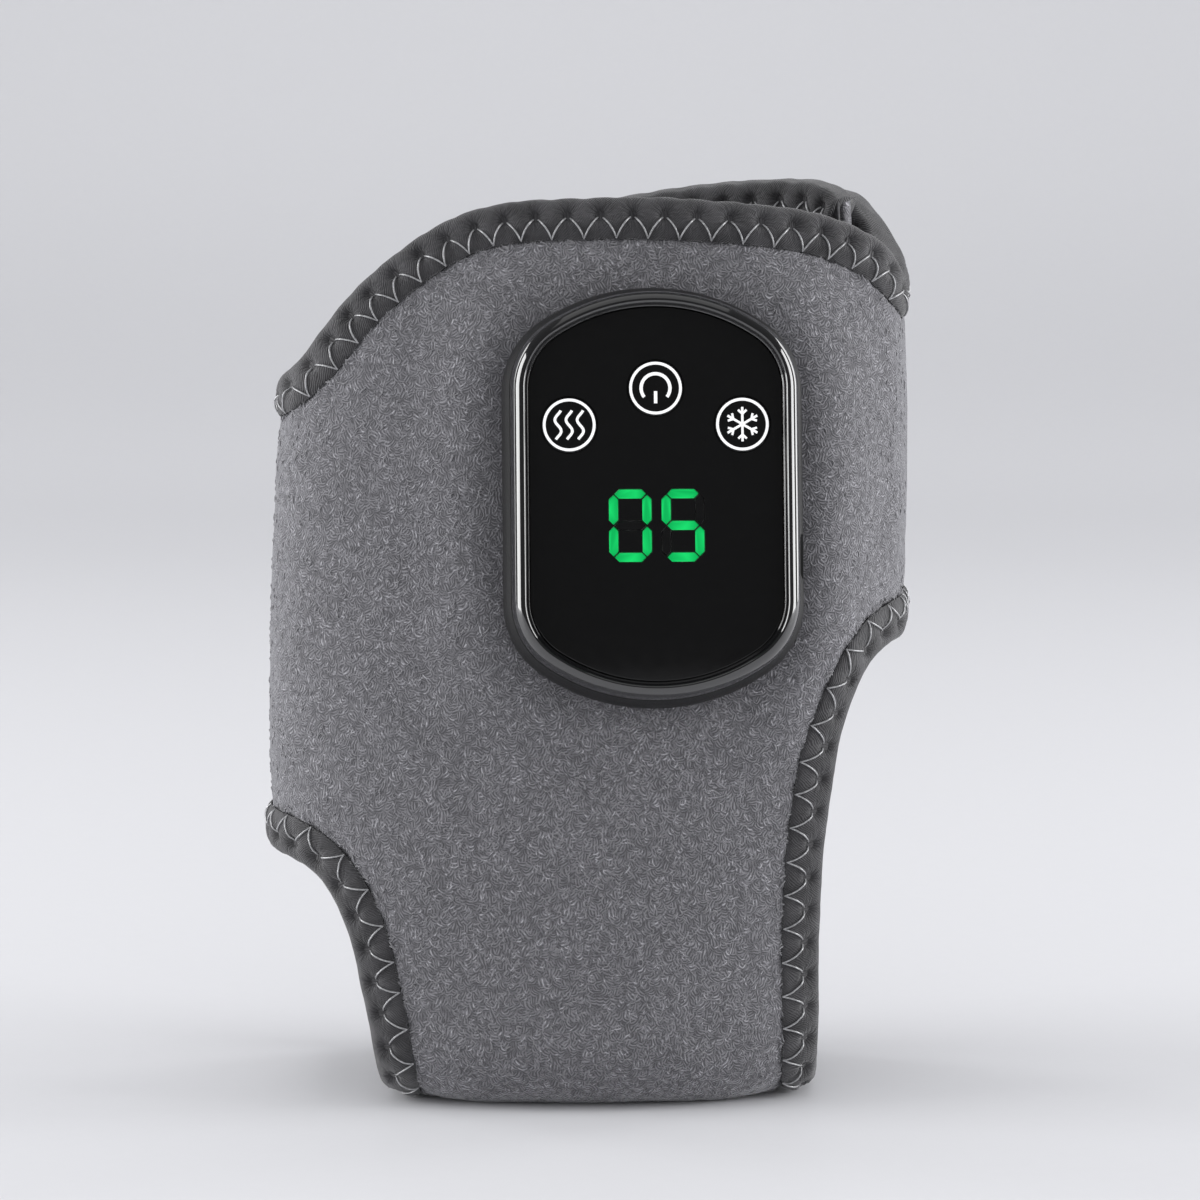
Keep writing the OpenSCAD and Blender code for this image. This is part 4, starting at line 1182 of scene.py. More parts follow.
class MakeOuterCloth(SceneOperator, Operator):
    """Makes the outer pile cloth round the ankle and under the sole"""

    bl_idname = "wrap.outer_cloth"
    bl_label = "Outer cloth"

    COLUMNS, ROWS = 150, 190
    HOLE_INSET = 7 * MM
    EDGE_LOOPS, EDGE_LOOP_SIZE = 4200, 1.15
    FIELD_LOOPS, FIELD_LOOP_SIZE = 5200, 1.0

    def execute(self, context):
        form, stitch = self.form(context), context.scene.stitch_sizes
        paths = edge_paths(form, stitch.pitch)
        del paths["flap"]
        tree, spots = edge_tree(paths)

        def skin(side, across, level):
            point = form.cloth(side, across, level)
            deeper = form.cloth(side, across, level, MM)
            height = pile_height(form, stitch, tree, spots, paths, point)
            if side < 0:
                inside, swell = press_round_case(form, point)
                height = mix(height + swell, -0.15 * MM, smooth((inside + 1.5 * MM) / (3 * MM)))
            return point + (point - deeper) / MM * height

        mesh = cloth_grid(form, self.COLUMNS, self.ROWS, skin)
        case_hole(form, mesh, self.HOLE_INSET)
        pile = self.finish("loop_pile", pile_finish, context.scene.finish_colours)
        piece = make_piece("outer_cloth", mesh, pile, "wrap", "plush", ["wrap_shell"])
        self.loops(form, stitch, piece, tree, spots, context.scene.finish_colours)
        thicken(piece, PILE_PLY)
        return {"FINISHED"}

    def loops(self, form, stitch, cloth, tree, spots, colours):
        """Single loops of yarn: a fringe over the bindings' inner edge, and a scatter all over."""
        chance = random.Random(11)
        near, field = [], []
        for face in cloth.data.polygons:
            place, _, away = tree.find(face.center)
            inside = form.case_inset(*form.case_place(face.center)[:2]) if face.center.y < 0 else -1
            if inside > -0.3 * MM:
                continue
            if abs(away - stitch.pile_line) < 0.9 * MM:
                near.append((face, (place - face.center).normalized()))
            elif away > stitch.pile_line:
                field.append((face, None))
        yarn = self.finish("loop_yarn", loop_finish, colours)
        kinds = (
            ("edge_loops", near, self.EDGE_LOOPS, self.EDGE_LOOP_SIZE),
            ("pile_loops", field, self.FIELD_LOOPS, self.FIELD_LOOP_SIZE),
        )
        for name, faces, count, size in kinds:
            lines = []
            for face, way in chance.choices(faces, [face.area for face, _ in faces], k=count):
                lines.append(self.loop(form, stitch, chance, face, way, size * MM))
            dress(name, tubes(name, lines, stitch.loop_r, 4), yarn, "wrap", "plush")

    @staticmethod
    def loop(form, stitch, chance, face, way, size):
        """One loop: out of the cloth, over along the surface in a curve, and back in."""
        normal = face.normal
        if way is None:
            way = Vector([chance.uniform(-1, 1) for _ in range(3)])
        else:
            way = way + 0.55 * Vector([chance.uniform(-1, 1) for _ in range(3)])
        way = (way - way.dot(normal) * normal).normalized()
        side = normal.cross(way)
        foot = face.center + size * 0.7 * (chance.uniform(-1, 1) * way + chance.uniform(-1, 1) * side)
        reach, bend = size * chance.uniform(0.6, 1.15), size * chance.uniform(-1.0, 1.0)
        rise = size * chance.uniform(0.04, 0.14)
        line = []
        for k in range(5):
            t = k / 4
            up = rise * (4 * t * (1 - t)) ** 0.5 - 0.25 * size * (1 - 4 * t * (1 - t))
            point = foot + reach * (2 * t - 0.7) * way + bend * 4 * t * (1 - t) * side + up * normal
            line.append((point, 1.0))
        return line


class MakeLining(SceneOperator, Operator):
    """Makes the smooth lining on the skin side"""

    bl_idname = "wrap.lining"
    bl_label = "Lining"

    COLUMNS, ROWS = 90, 110
    HOLE_INSET = 6.5 * MM

    def execute(self, context):
        form = self.form(context)

        def skin(side, across, level):
            soft = 0.12 * MM * noise.noise(form.cloth(side, across, level) * 120)
            return form.cloth(side, across, level, form.fabric_t - 0.05 * MM + soft)

        mesh = cloth_grid(form, self.COLUMNS, self.ROWS, skin)
        case_hole(form, mesh, self.HOLE_INSET)
        bmesh.ops.reverse_faces(mesh, faces=mesh.faces)
        knit = self.finish("knit_lining", lining_finish, context.scene.finish_colours)
        piece = make_piece("lining", mesh, knit, "wrap", "lining", ["wrap_lining"])
        thicken(piece, LINING_PLY)
        return {"FINISHED"}


class MakeFlap(SceneOperator, Operator):
    """Makes the closure flap with its lining and hook tape"""

    bl_idname = "wrap.closure_flap"
    bl_label = "Closure flap"

    LONG, WIDE = 0.09, 0.07
    CLOTH_GRID, LINING_GRID, TAPE_GRID = (110, 90), (60, 40), (40, 24)
    HOOK_COLUMNS, HOOK_ROWS = 34, 24

    def layer(self, form, columns, rows, height):
        """One ply of the flap, raised by height over its plain outer face."""

        def place(column, row):
            turn, level = form.flap_place(column * form.FLAP_COLS / columns, row * form.FLAP_ROWS / rows)
            return form.flap_skin(turn, level, -height(form.flap_skin(turn, level)))

        def uv(column, row):
            return column * self.LONG / columns, row * self.WIDE / rows

        return grid_mesh(columns, rows, place, uv)

    def execute(self, context):
        form, stitch = self.form(context), context.scene.stitch_sizes
        colours = context.scene.finish_colours
        paths = {"flap": edge_paths(form, stitch.pitch)["flap"]}
        tree, spots = edge_tree(paths)

        def pile_up(point):
            return pile_height(form, stitch, tree, spots, paths, point)

        cloth = self.layer(form, *self.CLOTH_GRID, pile_up)
        pile = self.finish("loop_pile", pile_finish, colours)
        shell = make_piece("flap_cloth", cloth, pile, None, "plush", ["flap_shell"])
        thicken(shell, PILE_PLY)
        inner = self.layer(form, *self.LINING_GRID, lambda point: 0.05 * MM - form.fabric_t)
        bmesh.ops.reverse_faces(inner, faces=inner.faces)
        knit = self.finish("knit_lining", lining_finish, colours)
        lining = make_piece("flap_inner", inner, knit, None, "lining", ["flap_lining"])
        thicken(lining, LINING_PLY)
        for piece in (shell, lining):
            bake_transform(piece)
        self.hooks(form, colours)
        return {"FINISHED"}

    def hooks(self, form, colours):
        """The hook tape: a woven backing with rows of small bent hooks."""
        first, last = form.FLAP_COLS - 7, form.FLAP_COLS - 2
        inner, outer = form.fabric_t, form.fabric_t + form.hook_t

        def place(k, r, depth):
            turn, level = form.flap_place(mix(first, last, k), mix(1, form.FLAP_ROWS - 1, r))
            return form.flap_skin(turn, level, depth)

        columns, rows = self.TAPE_GRID

        def backing(column, row):
            if row <= rows:
                return place(column / columns, row / rows, inner + 0.05 * MM)
            return place(column / columns, (2 * rows + 1 - row) / rows, inner + 0.7 * MM)

        def uv(column, row):
            return column * 0.04 / columns, row * MM

        mesh = grid_mesh(columns, 2 * rows + 2, backing, uv, around=True)
        close_ends(mesh)
        outward(mesh)
        plastic = self.finish("hook_plastic", matt_finish, "hook_plastic", (0.03, 0.03, 0.033), 0.5, 0.45)
        make_piece("hook_backing", mesh, plastic, "closure_flap", "hook", ["hook_tape"])
        lines = []
        for m in range(self.HOOK_COLUMNS):
            for n in range(self.HOOK_ROWS):
                k, r = (m + 0.5) / self.HOOK_COLUMNS, (n + 0.5) / self.HOOK_ROWS
                foot, top = place(k, r, inner + 0.6 * MM), place(k, r, outer - 0.15 * MM)
                side = (place(k, min(1, r + 0.02), inner) - place(k, r, inner)).normalized() * 0.4 * MM
                stem = foot.lerp(top, 0.75)
                tip = stem.lerp(top, 0.2) + side
                lines.append([(foot, 1.3), (stem, 1.0), (top + side * 0.5, 0.95), (tip, 0.7)])
        data = tubes("hooks", lines, 0.16 * MM, sides=4)
        dress("hooks", data, plastic, "closure_flap", "hook")


class MakeBindings(SceneOperator, Operator):
    """Makes the four edge bindings and their zigzag stitching"""

    bl_idname = "wrap.bindings"
    bl_label = "Bindings and stitching"

    LEG_POINTS = 10

    def execute(self, context):
        form, stitch = self.form(context), context.scene.stitch_sizes
        colours = context.scene.finish_colours
        tape = Tape(form, stitch)
        cloth = self.finish("binding_tape", tape_finish, colours, stitch, tape.hole_across, tape.far_hole)
        silver = self.finish("silver_thread", thread_finish, colours)
        for seed, (name, path) in enumerate(edge_paths(form, stitch.pitch).items()):
            body = None if name == "flap" else "wrap"
            mesh = tape.mesh(path, seed * 1.7)
            bound = make_piece(name + "_tape", mesh, cloth, body, "tape", [name + "_binding"])
            legs = tubes("thread", self.zigzag(tape, path, seed * 1.7), stitch.thread_r, 6)
            thread = dress(name + "_stitches", legs, silver, body, "tape")
            if name == "flap":
                for piece in (bound, thread):
                    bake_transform(piece)
        return {"FINISHED"}

    def zigzag(self, tape, path, seed):
        """One thread leg from each needle hole to the next place at the pile line, on both faces."""
        lines = []
        for far in (False, True):
            for leg in range(2 * path.stitches):
                hole_at = (leg // 2 + 0.5) * path.pitch
                pile_at = (leg // 2 + (leg % 2)) * path.pitch
                jitter = noise.noise(Vector((leg * 3.1, seed, 7.0 if far else 0.0)))
                line = []
                for k in range(self.LEG_POINTS):
                    t = k / (self.LEG_POINTS - 1)
                    along = mix(hole_at, pile_at, t) + (pile_at - hole_at) * 0.12 * math.sin(math.pi * t)
                    pile_in = tape.stitch.pile_line + (0.35 + 0.3 * jitter) * MM
                    inset = mix(tape.stitch.hole_in, pile_in, t)
                    face = tape.height(along, min(inset, 7.0 * MM), path.pitch, seed, far)
                    dive = MM * (0.55 * bell(t, 0.07) + 0.6 * bell(1 - t, 0.07))
                    over = tape.stitch.thread_r * 0.75 + 0.16 * MM * math.sin(math.pi * t) - dive
                    height = face - over if far else face + over
                    column = along / path.step
                    low, share = math.floor(column), column - math.floor(column)
                    if not path.loop:
                        low = max(0, min(path.count - 1, low))
                    point = path.at(low, inset, height).lerp(path.at(low + 1, inset, height), share)
                    line.append((point, 0.75 if t in (0, 1) else 1.0))
                lines.append(line)
        return lines


# ---- The controller ----------------------------------------------------------------------


def ring_mesh(outline, profile):
    """A closed profile of (inset, height) swept round the case."""
    rings = [outline(inset) for inset, _ in profile]
    count = len(rings[0])

    def place(column, row):
        x, y = rings[row][column % count]
        return Vector((x, y, profile[row][1]))

    mesh = grid_mesh(count, len(profile), place, around=True)
    outward(mesh)
    return mesh


def flat_mesh(loops, low, high):
    """A plate between two heights, from an outline and the outlines of its holes."""
    mesh = bmesh.new()
    for loop in loops:
        verts = [mesh.verts.new((x, y, low)) for x, y in loop]
        for a, b in zip(verts, verts[1:] + verts[:1]):
            mesh.edges.new((a, b))
    bmesh.ops.triangle_fill(mesh, use_beauty=True, use_dissolve=False, edges=mesh.edges)
    bmesh.ops.dissolve_limit(
        mesh, angle_limit=0.01, use_dissolve_boundaries=False, verts=mesh.verts, edges=mesh.edges,
        delimit={"NORMAL"},
    )
    raised = bmesh.ops.extrude_face_region(mesh, geom=mesh.faces[:])["geom"]
    corners = [v for v in raised if isinstance(v, bmesh.types.BMVert)]
    bmesh.ops.translate(mesh, vec=(0, 0, high - low), verts=corners)
    outward(mesh)
    return mesh


def soften(mesh, width, segments, pick):
    """Rounds the edges that pick chooses."""
    edges = [edge for edge in mesh.edges if pick(edge)]
    bmesh.ops.bevel(
        mesh, geom=edges, offset=width, segments=segments, profile=0.5, affect="EDGES", material=-1,
        clamp_overlap=True,
    )


def circle(x, y, radius, steps=72):
    return [
        (x + radius * math.cos(2 * math.pi * k / steps), y + radius * math.sin(2 * math.pi * k / steps))
        for k in range(steps)
    ]


def through(profile, steps):
    """Points along a smooth line through a profile."""
    points = [Vector(p) for p in profile]
    return [tuple(spline(points, k * (len(points) - 1) / steps)) for k in range(steps + 1)]


class MakeCase(SceneOperator, Operator):
    """Makes the controller's side wall, bezel and lens"""

    bl_idname = "wrap.controller_case"
    bl_label = "Controller case"

    # The bezel's section: inset from the foot in millimetres, and share of its height.
    SHOULDER = [(1.52, 0.35), (1.85, 0.66), (2.3, 0.82), (3.0, 0.945), (3.7, 1.0), (4.1, 0.965)]

    def execute(self, context):
        form, sizes = self.form(context), context.scene.case_sizes
        colours = context.scene.finish_colours
        wall, crest = sizes.wall_h, sizes.bezel_h
        lens_top = wall + crest - LENS_BELOW_CREST
        lens_low = lens_top - sizes.lens_t
        self.side_wall(form, sizes, wall, colours)
        outer = [(1.45, wall / MM + 0.1)]
        outer += [(inset, (wall + part * crest) / MM) for inset, part in self.SHOULDER]
        outer += [(4.55, lens_top / MM + 0.35), (4.84, lens_top / MM + 0.02)]
        shown = [(a * MM, b * MM) for a, b in through(outer, 44)]
        ledge, foot = lens_low - 0.3 * MM, lens_low - 0.9 * MM
        inner = [(4.88 * MM, ledge), (6.0 * MM, ledge), (6.0 * MM, foot)]
        inner += [(2.9 * MM, foot), (2.9 * MM, wall + 0.1 * MM)]
        mesh = ring_mesh(form.case_outline, shown + inner)
        tone = tuple(colours.gloss)
        gloss = self.finish("gloss_bezel", gloss_finish, "gloss_bezel", tone, 0.07, 1.0, 0.9)
        make_piece("bezel_ring", mesh, gloss, "wrap", "case_gloss", ["bezel"], 40, form.on_case)
        self.lens(form, sizes, lens_low, lens_top, colours)
        return {"FINISHED"}

    def side_wall(self, form, sizes, wall, colours):
        """The matt wall under the bezel, with the charging socket's mouth in its toe side."""
        tall = wall / MM
        outer = [(0.35, 0.2), (0.08, 0.55), (0.1, 0.3 * tall), (0.5, 0.65 * tall), (1.4, tall)]
        shown = [(a * MM, b * MM) for a, b in through(outer, 22)]
        inner = [(2.9 * MM, wall), (2.9 * MM, 1.8 * MM), (8.1 * MM, 1.8 * MM), (8.1 * MM, 0.2 * MM)]
        mesh = ring_mesh(form.case_outline, shown + inner)
        matt = self.finish("matt_case", matt_finish, "matt_case", tuple(colours.matt), 0.3, 0.5)
        mouth = bmesh.new()
        bmesh.ops.create_cube(mouth, size=1)
        bmesh.ops.scale(mouth, vec=(16 * MM, 9 * MM, 3.2 * MM), verts=mouth.verts)
        bmesh.ops.translate(mouth, vec=(sizes.case_w / 2, -12 * MM, 4.7 * MM), verts=mouth.verts)
        soften(mouth, 1.55 * MM, 6, lambda e: abs(e.verts[0].co.x - e.verts[1].co.x) > 10 * MM)
        data = carve(mesh, mouth)
        data.transform(form.on_case)
        dress("side_wall", data, matt, "wrap", "case_matt", ["case_wall"], 40)

    def lens(self, form, sizes, low, top, colours):
        """The black front, with holes for the keys and the display's bars."""
        side_x, side_y = sizes.key_side_x, sizes.key_side_y
        keys = [(0, sizes.key_top_y), (-side_x, side_y), (side_x, side_y)]
        loops = [form.case_outline(sizes.bezel_w, 18, 18)]
        loops += [circle(x, y, sizes.key_r + 0.1 * MM) for x, y in keys]
        loops += [bar for digit in digit_bars(sizes, 0) for bar in digit]
        mesh = flat_mesh(loops, low, top)

        def rim(edge):
            flat = all(abs(v.co.z - top) < 0.01 * MM for v in edge.verts)
            sharp = len(edge.link_faces) == 2 and edge.calc_face_angle(0) > 1
            reach = sizes.bezel_w + 0.3 * MM
            return flat and sharp and all(form.case_inset(v.co.x, v.co.y) < reach for v in edge.verts)

        soften(mesh, 0.35 * MM, 3, rim)
        lens = self.finish("lens_black", gloss_finish, "lens_black", tuple(colours.lens), 0.12, 0.0, 0.35)
        make_piece("lens_panel", mesh, lens, "wrap", "lens", ["front_lens"], 30, form.on_case)


def carve(mesh, cutter):
    """Cuts one closed mesh out of another and returns the result."""
    holders = []
    for name, part in (("block", mesh), ("cutter", cutter)):
        data = bpy.data.meshes.new(name)
        part.to_mesh(data)
        part.free()
        holders.append(bpy.data.objects.new(name, data))
        bpy.context.scene.collection.objects.link(holders[-1])
    block, tool = holders
    cut = block.modifiers.new("cut", "BOOLEAN")
    cut.object, cut.operation, cut.solver = tool, "DIFFERENCE", "EXACT"
    depsgraph = bpy.context.evaluated_depsgraph_get()
    result = bpy.data.meshes.new_from_object(block.evaluated_get(depsgraph))
    for holder in holders:
        data = holder.data
        bpy.data.objects.remove(holder)
        bpy.data.meshes.remove(data)
    return result


def digit_bars(sizes, inset):
    """Outlines of the seven bars of both digits, as 2 lists of 7."""
    stroke, gap = 1.9 * MM, 0.22 * MM
    bar_x = sizes.digit_w - stroke - gap
    bar_y = (sizes.digit_h - stroke) / 2 - gap
    level, reach = (sizes.digit_h - stroke) / 2, (sizes.digit_w - stroke) / 2

    def bar(size):
        h, e = stroke / 2 - inset, size / 2 - 1.4 * inset
        return [(-e, 0), (-e + h, h), (e - h, h), (e, 0), (e - h, -h), (-e + h, -h)]

    digits = []
    for d in (-0.5, 0.5):
        x, y = d * sizes.digit_pitch, -sizes.digit_drop
        bars = []
        for n in range(7):
            if n % 3 == 0:
                bars.append([(x + a, y + b + (1 - n / 3) * level) for a, b in bar(bar_x)])
            else:
                side, half = (-1 if n % 3 == 1 else 1), (0.5 if n < 3 else -0.5)
                bars.append([(x + side * reach - b, y + half * level + a) for a, b in bar(bar_y)])
        digits.append(bars)
    return digits


class MakeKeys(SceneOperator, Operator):
    """Makes the three key caps with their white icons"""

    bl_idname = "wrap.keys"
    bl_label = "Keys"

    CAP_H = 2.25 * MM
    # The icons' sizes, in millimetres.
    RING_R, LINE = 4.93, 0.28

    def execute(self, context):
        form, sizes = self.form(context), context.scene.case_sizes
        colours = context.scene.finish_colours
        top = sizes.wall_h + sizes.bezel_h - LENS_BELOW_CREST
        gloss = self.finish("key_black", gloss_finish, "key_black", tuple(colours.lens), 0.12, 0.0, 0.35)
        ink = self.finish("white_icons", ink_finish, colours)
        keys = [
            ("power", (0, sizes.key_top_y), self.power_mark()),
            ("heat", (-sizes.key_side_x, sizes.key_side_y), self.heat_mark()),
            ("cold", (sizes.key_side_x, sizes.key_side_y), self.cold_mark()),
        ]
        for name, (x, y), mark in keys:
            r, flange = sizes.key_r, sizes.key_r + 0.7 * MM
            profile = [
                (0, 0), (flange, 0), (flange, 0.55 * MM), (r + 0.62 * MM, 0.6 * MM), (r, 0.6 * MM),
                (r, 2.0 * MM), (r - 0.1 * MM, 2.2 * MM), (r - 0.25 * MM, self.CAP_H), (0, self.CAP_H),
            ]
            cap = turned(profile, 96)
            place = form.on_case @ Matrix.Translation((x, y, top - self.CAP_H))
            make_piece(name + "_cap", cap, gloss, name + "_button", "lens", [name + "_key"], 25, place)
            ring = [(self.RING_R * math.cos(a), self.RING_R * math.sin(a)) for a in arc(0, 360, 72)[:-1]]
            lines = [(ring, self.LINE, True)] + mark
            data = self.drawn(lines)
            data.transform(form.on_case @ Matrix.Translation((x, y, top)))
            dress(name + "_icon", data, ink, name + "_button", "lit", flat_angle=40)
        return {"FINISHED"}

    def drawn(self, lines):
        """Icon lines as one low raised print."""
        whole = bmesh.new()
        for line, half, closed in lines:
            points = [Vector((x, y, 0)) * MM for x, y in line]
            data = tubes("line", [[(p, 1.0) for p in points]], half * MM, 8, closed)
            whole.from_mesh(data)
            bpy.data.meshes.remove(data)
        for vert in whole.verts:
            vert.co.z = clamp(0.5 + vert.co.z / (0.3 * MM)) * 0.03 * MM
        data = bpy.data.meshes.new("icon")
        whole.to_mesh(data)
        whole.free()
        return data

    def heat_mark(self):
        """Three rising waves."""
        waves = []
        for n in (-1, 0, 1):
            wave = []
            for k in range(25):
                t = k / 24
                wave.append((n * 2.2 + 0.62 * math.cos(math.pi * (0.15 + 2.6 * t)), 2.85 - 5.7 * t))
            waves.append((wave, 0.27, False))
        return waves

    def power_mark(self):
        """An open ring and a short bar."""
        turn = [(2.85 * math.cos(a), 2.85 * math.sin(a)) for a in arc(-38, 218, 40)]
        return [(turn, 0.33, False), ([(0, -0.6), (0, -3.0)], 0.33, False)]

    def cold_mark(self):
        """A snow crystal with six forked arms."""
        arms = []
        for n in range(6):
            a = math.pi * n / 3 + math.pi / 2
            way = Vector((math.cos(a), math.sin(a)))
            arms.append(([tuple(way * 0.05), tuple(way * 3.4)], 0.24, False))
            fork = way * 2.05
            for turn in (-0.82, 0.82):
                tip = fork + Vector((math.cos(a + turn), math.sin(a + turn))) * 1.15
                arms.append(([tuple(fork), tuple(tip)], 0.22, False))
        return arms


def arc(start, end, steps):
    """Evenly spaced angles between two, given in degrees."""
    return [math.radians(mix(start, end, k / steps)) for k in range(steps + 1)]


def turned(profile, steps):
    """A profile of (radius, height) turned round the upright axis."""
    mesh = bmesh.new()
    verts = [mesh.verts.new((r, 0, z)) for r, z in profile]
    edges = [mesh.edges.new(pair) for pair in zip(verts, verts[1:])]
    bmesh.ops.spin(
        mesh, geom=verts + edges, cent=(0, 0, 0), axis=(0, 0, 1), dvec=(0, 0, 0), angle=2 * math.pi,
        steps=steps, use_merge=True,
    )
    bmesh.ops.remove_doubles(mesh, verts=mesh.verts, dist=0.002 * MM)
    outward(mesh)
    return mesh


class MakeDisplay(SceneOperator, Operator):
    """Makes the green and the dark segments of the display"""

    bl_idname = "wrap.display"
    bl_label = "Display"

    # The lit bars of each digit, counted as digit_bars gives them.
    LIT = [(0, 1, 2, 4, 5, 6), (0, 1, 3, 5, 6)]
    BAR_INSET = 0.14 * MM

    def execute(self, context):
        form, sizes = self.form(context), context.scene.case_sizes
        colours = context.scene.finish_colours
        top = sizes.wall_h + sizes.bezel_h - LENS_BELOW_CREST
        low = top - sizes.lens_t - 0.1 * MM
        digits = digit_bars(sizes, self.BAR_INSET)
        lit = [digits[d][n] for d in (0, 1) for n in self.LIT[d]]
        dark = [digits[d][n] for d in (0, 1) for n in range(7) if n not in self.LIT[d]]
        green = self.finish("lit_segment", lit_finish, colours)
        tone = tuple(c * 1.1 for c in colours.lens)
        unlit = self.finish("unlit_segment", gloss_finish, "unlit_segment", tone, 0.2, 0.0, 0.35)
        for name, bars, material in (("lit", lit, green), ("unlit", dark, unlit)):
            mesh = flat_mesh(bars, low, top)
            bmesh.ops.subdivide_edges(mesh, edges=mesh.edges, cuts=3, use_grid_fill=True)
            piece = make_piece(name + "_bars", mesh, material, "wrap", name, [name + "_segments"], 30)
            self.glow(piece.data, sizes)
            piece.data.transform(form.on_case)
        return {"FINISHED"}

    def glow(self, data, sizes):
        """Each bar is brightest at its middle."""
        bars = [bar for digit in digit_bars(sizes, 0) for bar in digit]
        middles = [Vector((sum(x for x, _ in bar), sum(y for _, y in bar))) / 6 for bar in bars]
        shine = data.attributes.new("glow", "FLOAT", "POINT")
        for vert, cell in zip(data.vertices, shine.data):
            away = min((vert.co.xy - middle).length for middle in middles)
            cell.value = bell(away, 2.4 * MM)


# ---- Pieces kept from the solid model ----------------------------------------------------


class MakeInnerParts(SceneOperator, Operator):
    """Gives the pieces kept from the solid model their materials"""

    bl_idname = "wrap.inner_parts"
    bl_label = "Inner pieces"

    # Each piece's material name, colour, roughness and the stretch of its grain.
    METAL = {
        "board_screws": ("plated_steel", (0.60, 0.60, 0.61), 0.28, (1, 1, 1)),
        "case_screws": ("plated_steel", (0.60, 0.60, 0.61), 0.28, (1, 1, 1)),
        "tact_switches": ("switch_steel", (0.66, 0.66, 0.67), 0.3, (1, 0.2, 1)),
        "usb_socket": ("socket_steel", (0.58, 0.58, 0.60), 0.25, (1, 0.1, 1)),
        "battery": ("foil_pouch", (0.66, 0.67, 0.70), 0.34, (0.3, 1, 1)),
        "heat_spreader": ("drawn_aluminium", (0.78, 0.79, 0.80), 0.32, (0.08, 1, 1)),
        "contact_plate": ("blasted_aluminium", (0.74, 0.75, 0.77), 0.42, (1, 1, 1)),
    }
    # Each piece's material name, colour, grain in millimetres and roughness.
    PLASTIC = {
        "lens_gasket": ("gasket_rubber", (0.020, 0.020, 0.020), 0.4, 0.75),
        "heating_film": ("heater_film", (0.045, 0.038, 0.036), 0.6, 0.42),
        "display_block": ("display_resin", (0.72, 0.72, 0.70), 0.5, 0.5),
        "circuit_board": ("solder_mask", (0.012, 0.11, 0.045), 0.9, 0.36),
        "control_chip": ("chip_epoxy", (0.020, 0.020, 0.021), 0.25, 0.55),
        "case_frame": ("frame_plastic", (0.050, 0.050, 0.054), 0.35, 0.5),
        "cooling_module": ("white_ceramic", (0.80, 0.80, 0.77), 0.4, 0.4),
        "insulation": ("closed_foam", (0.70, 0.69, 0.64), 1.1, 0.9),
        "skin_sensor": ("sensor_epoxy", (0.035, 0.035, 0.038), 0.3, 0.45),
        "clamp_ring": ("ring_plastic", (0.055, 0.055, 0.058), 0.35, 0.5),
        "heater_leads": ("lead_sleeve", (0.46, 0.030, 0.020), 0.5, 0.45),
    }

    def execute(self, context):
        for maker, kinds in ((metal_finish, self.METAL), (matt_finish, self.PLASTIC)):
            for node, facts in kinds.items():
                piece = bpy.data.objects[node]
                material = self.finish(facts[0], maker, *facts)
                if not piece.data.materials:
                    piece.data.materials.append(material)
                for slot in range(len(piece.data.materials)):
                    piece.data.materials[slot] = material
        return {"FINISHED"}


# ---- Studio ------------------------------------------------------------------------------


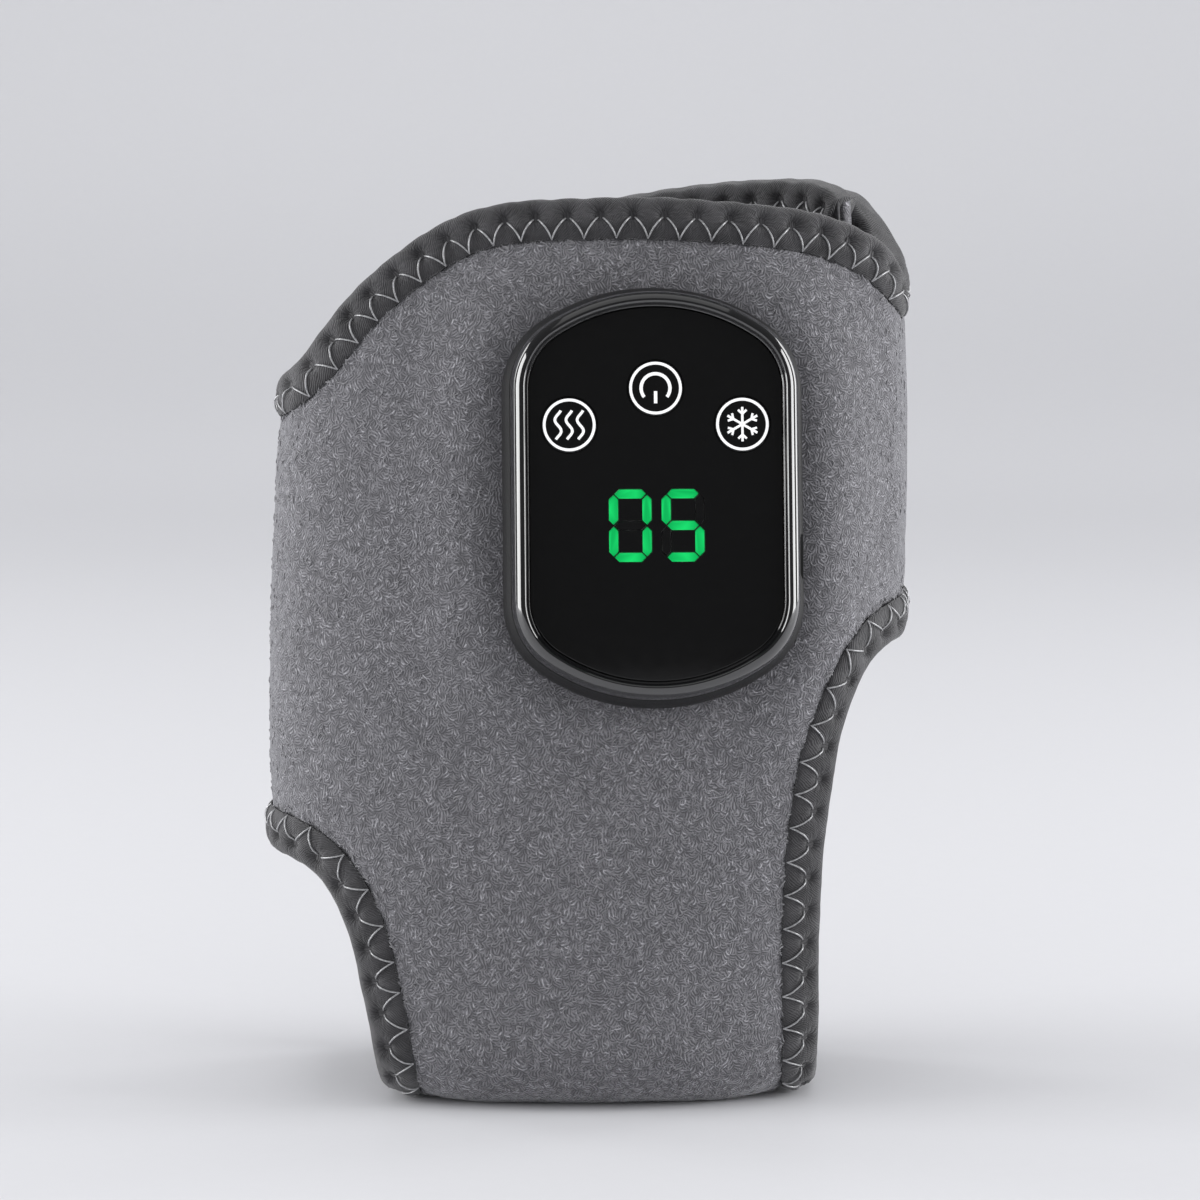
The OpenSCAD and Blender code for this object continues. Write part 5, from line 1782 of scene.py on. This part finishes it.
class MakeStage(SceneOperator, Operator):
    """Makes the pale floor and backdrop, the lamps and the camera"""

    bl_idname = "wrap.stage"
    bl_label = "Stage"

    AIM = Vector((0, 0, 0.099))
    DISTANCE, RISE, LENS = 1.0, 6.5, 146.34
    AMBIENT, IN_GLOSS = 0.82, 0.12
    # Each lamp's place, width, height and power.
    LAMPS = {
        "top": ((0.0, 0.05, 1.5), 1.3, 1.3, 2.0),
        "edge_left": ((-1.3, -0.12, 0.35), 0.7, 1.2, 16.5),
        "edge_right": ((1.3, -0.12, 0.35), 0.7, 1.2, 16.5),
        "rear_left": ((-1.2, 0.75, 0.5), 0.4, 1.0, 4.5),
        "rear_right": ((1.2, 0.75, 0.5), 0.4, 1.0, 4.5),
    }

    def execute(self, context):
        self.backdrop(context.scene.finish_colours)
        for name, (place, width, height, power) in self.LAMPS.items():
            self.lamp(name, place, width, height, power)
        self.world()
        self.camera()
        bpy.context.scene.view_settings.view_transform = "Standard"
        return {"FINISHED"}

    def backdrop(self, colours):
        """A floor that curves up into the backdrop."""
        line = [(-1.6, 0.0), (0.0, 0.0), (0.9, 0.0), (1.35, 0.02)]
        line += [(1.75, 0.15), (2.0, 0.5), (2.1, 1.0), (2.1, 2.6)]
        points = [Vector(p) for p in line]

        def place(column, row):
            y, z = spline(points, row * (len(points) - 1) / 60)
            return Vector((mix(-3.0, 3.0, column / 20), y, z if row > 20 else 0.0))

        mesh = grid_mesh(20, 60, place)
        data = bpy.data.meshes.new("studio_sweep")
        mesh.to_mesh(data)
        mesh.free()
        data.shade_smooth()
        sweep = bpy.data.objects.new("studio_sweep", data)
        bpy.context.scene.collection.objects.link(sweep)
        paper = Finish("studio_paper")
        grain = paper.noise(paper.place(), 4 * MM, 2.0)
        tone = tuple(colours.backdrop)
        data.materials.append(paper.principled(
            Base_Color=paper.blend(grain, tuple(c * 0.99 for c in tone), tuple(c * 1.01 for c in tone)),
            Roughness=0.55, Specular_IOR_Level=0.2,
        ))

    def lamp(self, name, place, width, height, power):
        """A flat soft lamp that faces the object."""
        lamp = bpy.data.lights.new(name, "AREA")
        lamp.shape, lamp.size, lamp.size_y, lamp.energy = "RECTANGLE", width, height, power
        holder = bpy.data.objects.new(name, lamp)
        holder.location = place
        way = self.AIM - holder.location
        holder.rotation_euler = way.to_track_quat("-Z", "Y").to_euler()
        bpy.context.scene.collection.objects.link(holder)

    def world(self):
        """Even light from all round, weaker where gloss shows it."""
        world = bpy.data.worlds.new("studio")
        world.use_nodes = True
        nodes, links = world.node_tree.nodes, world.node_tree.links
        sky = nodes["Background"]
        sky.inputs["Color"].default_value = (0.97, 0.98, 1.0, 1)
        rays = nodes.new("ShaderNodeLightPath")
        dimmed = nodes.new("ShaderNodeMath")
        dimmed.operation = "MULTIPLY_ADD"
        dimmed.inputs[1].default_value = self.IN_GLOSS - self.AMBIENT
        dimmed.inputs[2].default_value = self.AMBIENT
        links.new(rays.outputs["Is Glossy Ray"], dimmed.inputs[0])
        links.new(dimmed.outputs[0], sky.inputs["Strength"])
        bpy.context.scene.world = world

    def camera(self):
        """The camera before the object, a little above it."""
        data = bpy.data.cameras.new("camera")
        data.lens, data.sensor_width = self.LENS, 36
        holder = bpy.data.objects.new("camera", data)
        rise = math.radians(self.RISE)
        holder.location = self.AIM + self.DISTANCE * Vector((0, -math.cos(rise), math.sin(rise)))
        holder.rotation_euler = (math.pi / 2 - rise, 0, 0)
        bpy.context.scene.collection.objects.link(holder)
        bpy.context.scene.camera = holder


# ---- Panel, registration and the run -----------------------------------------------------

GROUPS = {
    "wrap_sizes": WrapSizes,
    "case_sizes": CaseSizes,
    "stitch_sizes": StitchSizes,
    "finish_colours": FinishColours,
}
MAKERS = [
    MakeStage, MakeOuterCloth, MakeLining, MakeFlap, MakeBindings, MakeCase, MakeKeys, MakeDisplay,
    MakeInnerParts,
]


class WrapPanel(Panel):
    """Lists the sizes and the makers of the wrap's pieces"""

    bl_idname = "VIEW3D_PT_ankle_wrap"
    bl_label = "Ankle wrap"
    bl_space_type = "VIEW_3D"
    bl_region_type = "UI"
    bl_category = "Wrap"

    def draw(self, context):
        for maker in MAKERS:
            self.layout.operator(maker.bl_idname)
        for name, group in GROUPS.items():
            box = self.layout.box()
            for prop in group.__annotations__:
                box.prop(getattr(context.scene, name), prop)


def register():
    for kind in [*GROUPS.values(), *MAKERS, WrapPanel]:
        bpy.utils.register_class(kind)
    for name, group in GROUPS.items():
        setattr(bpy.types.Scene, name, PointerProperty(type=group))


def unregister():
    for name in GROUPS:
        delattr(bpy.types.Scene, name)
    for kind in reversed([*GROUPS.values(), *MAKERS, WrapPanel]):
        bpy.utils.unregister_class(kind)


def main():
    register()
    for maker in MAKERS:
        family, name = maker.bl_idname.split(".")
        getattr(getattr(bpy.ops, family), name)()


if __name__ == "__main__":
    main()
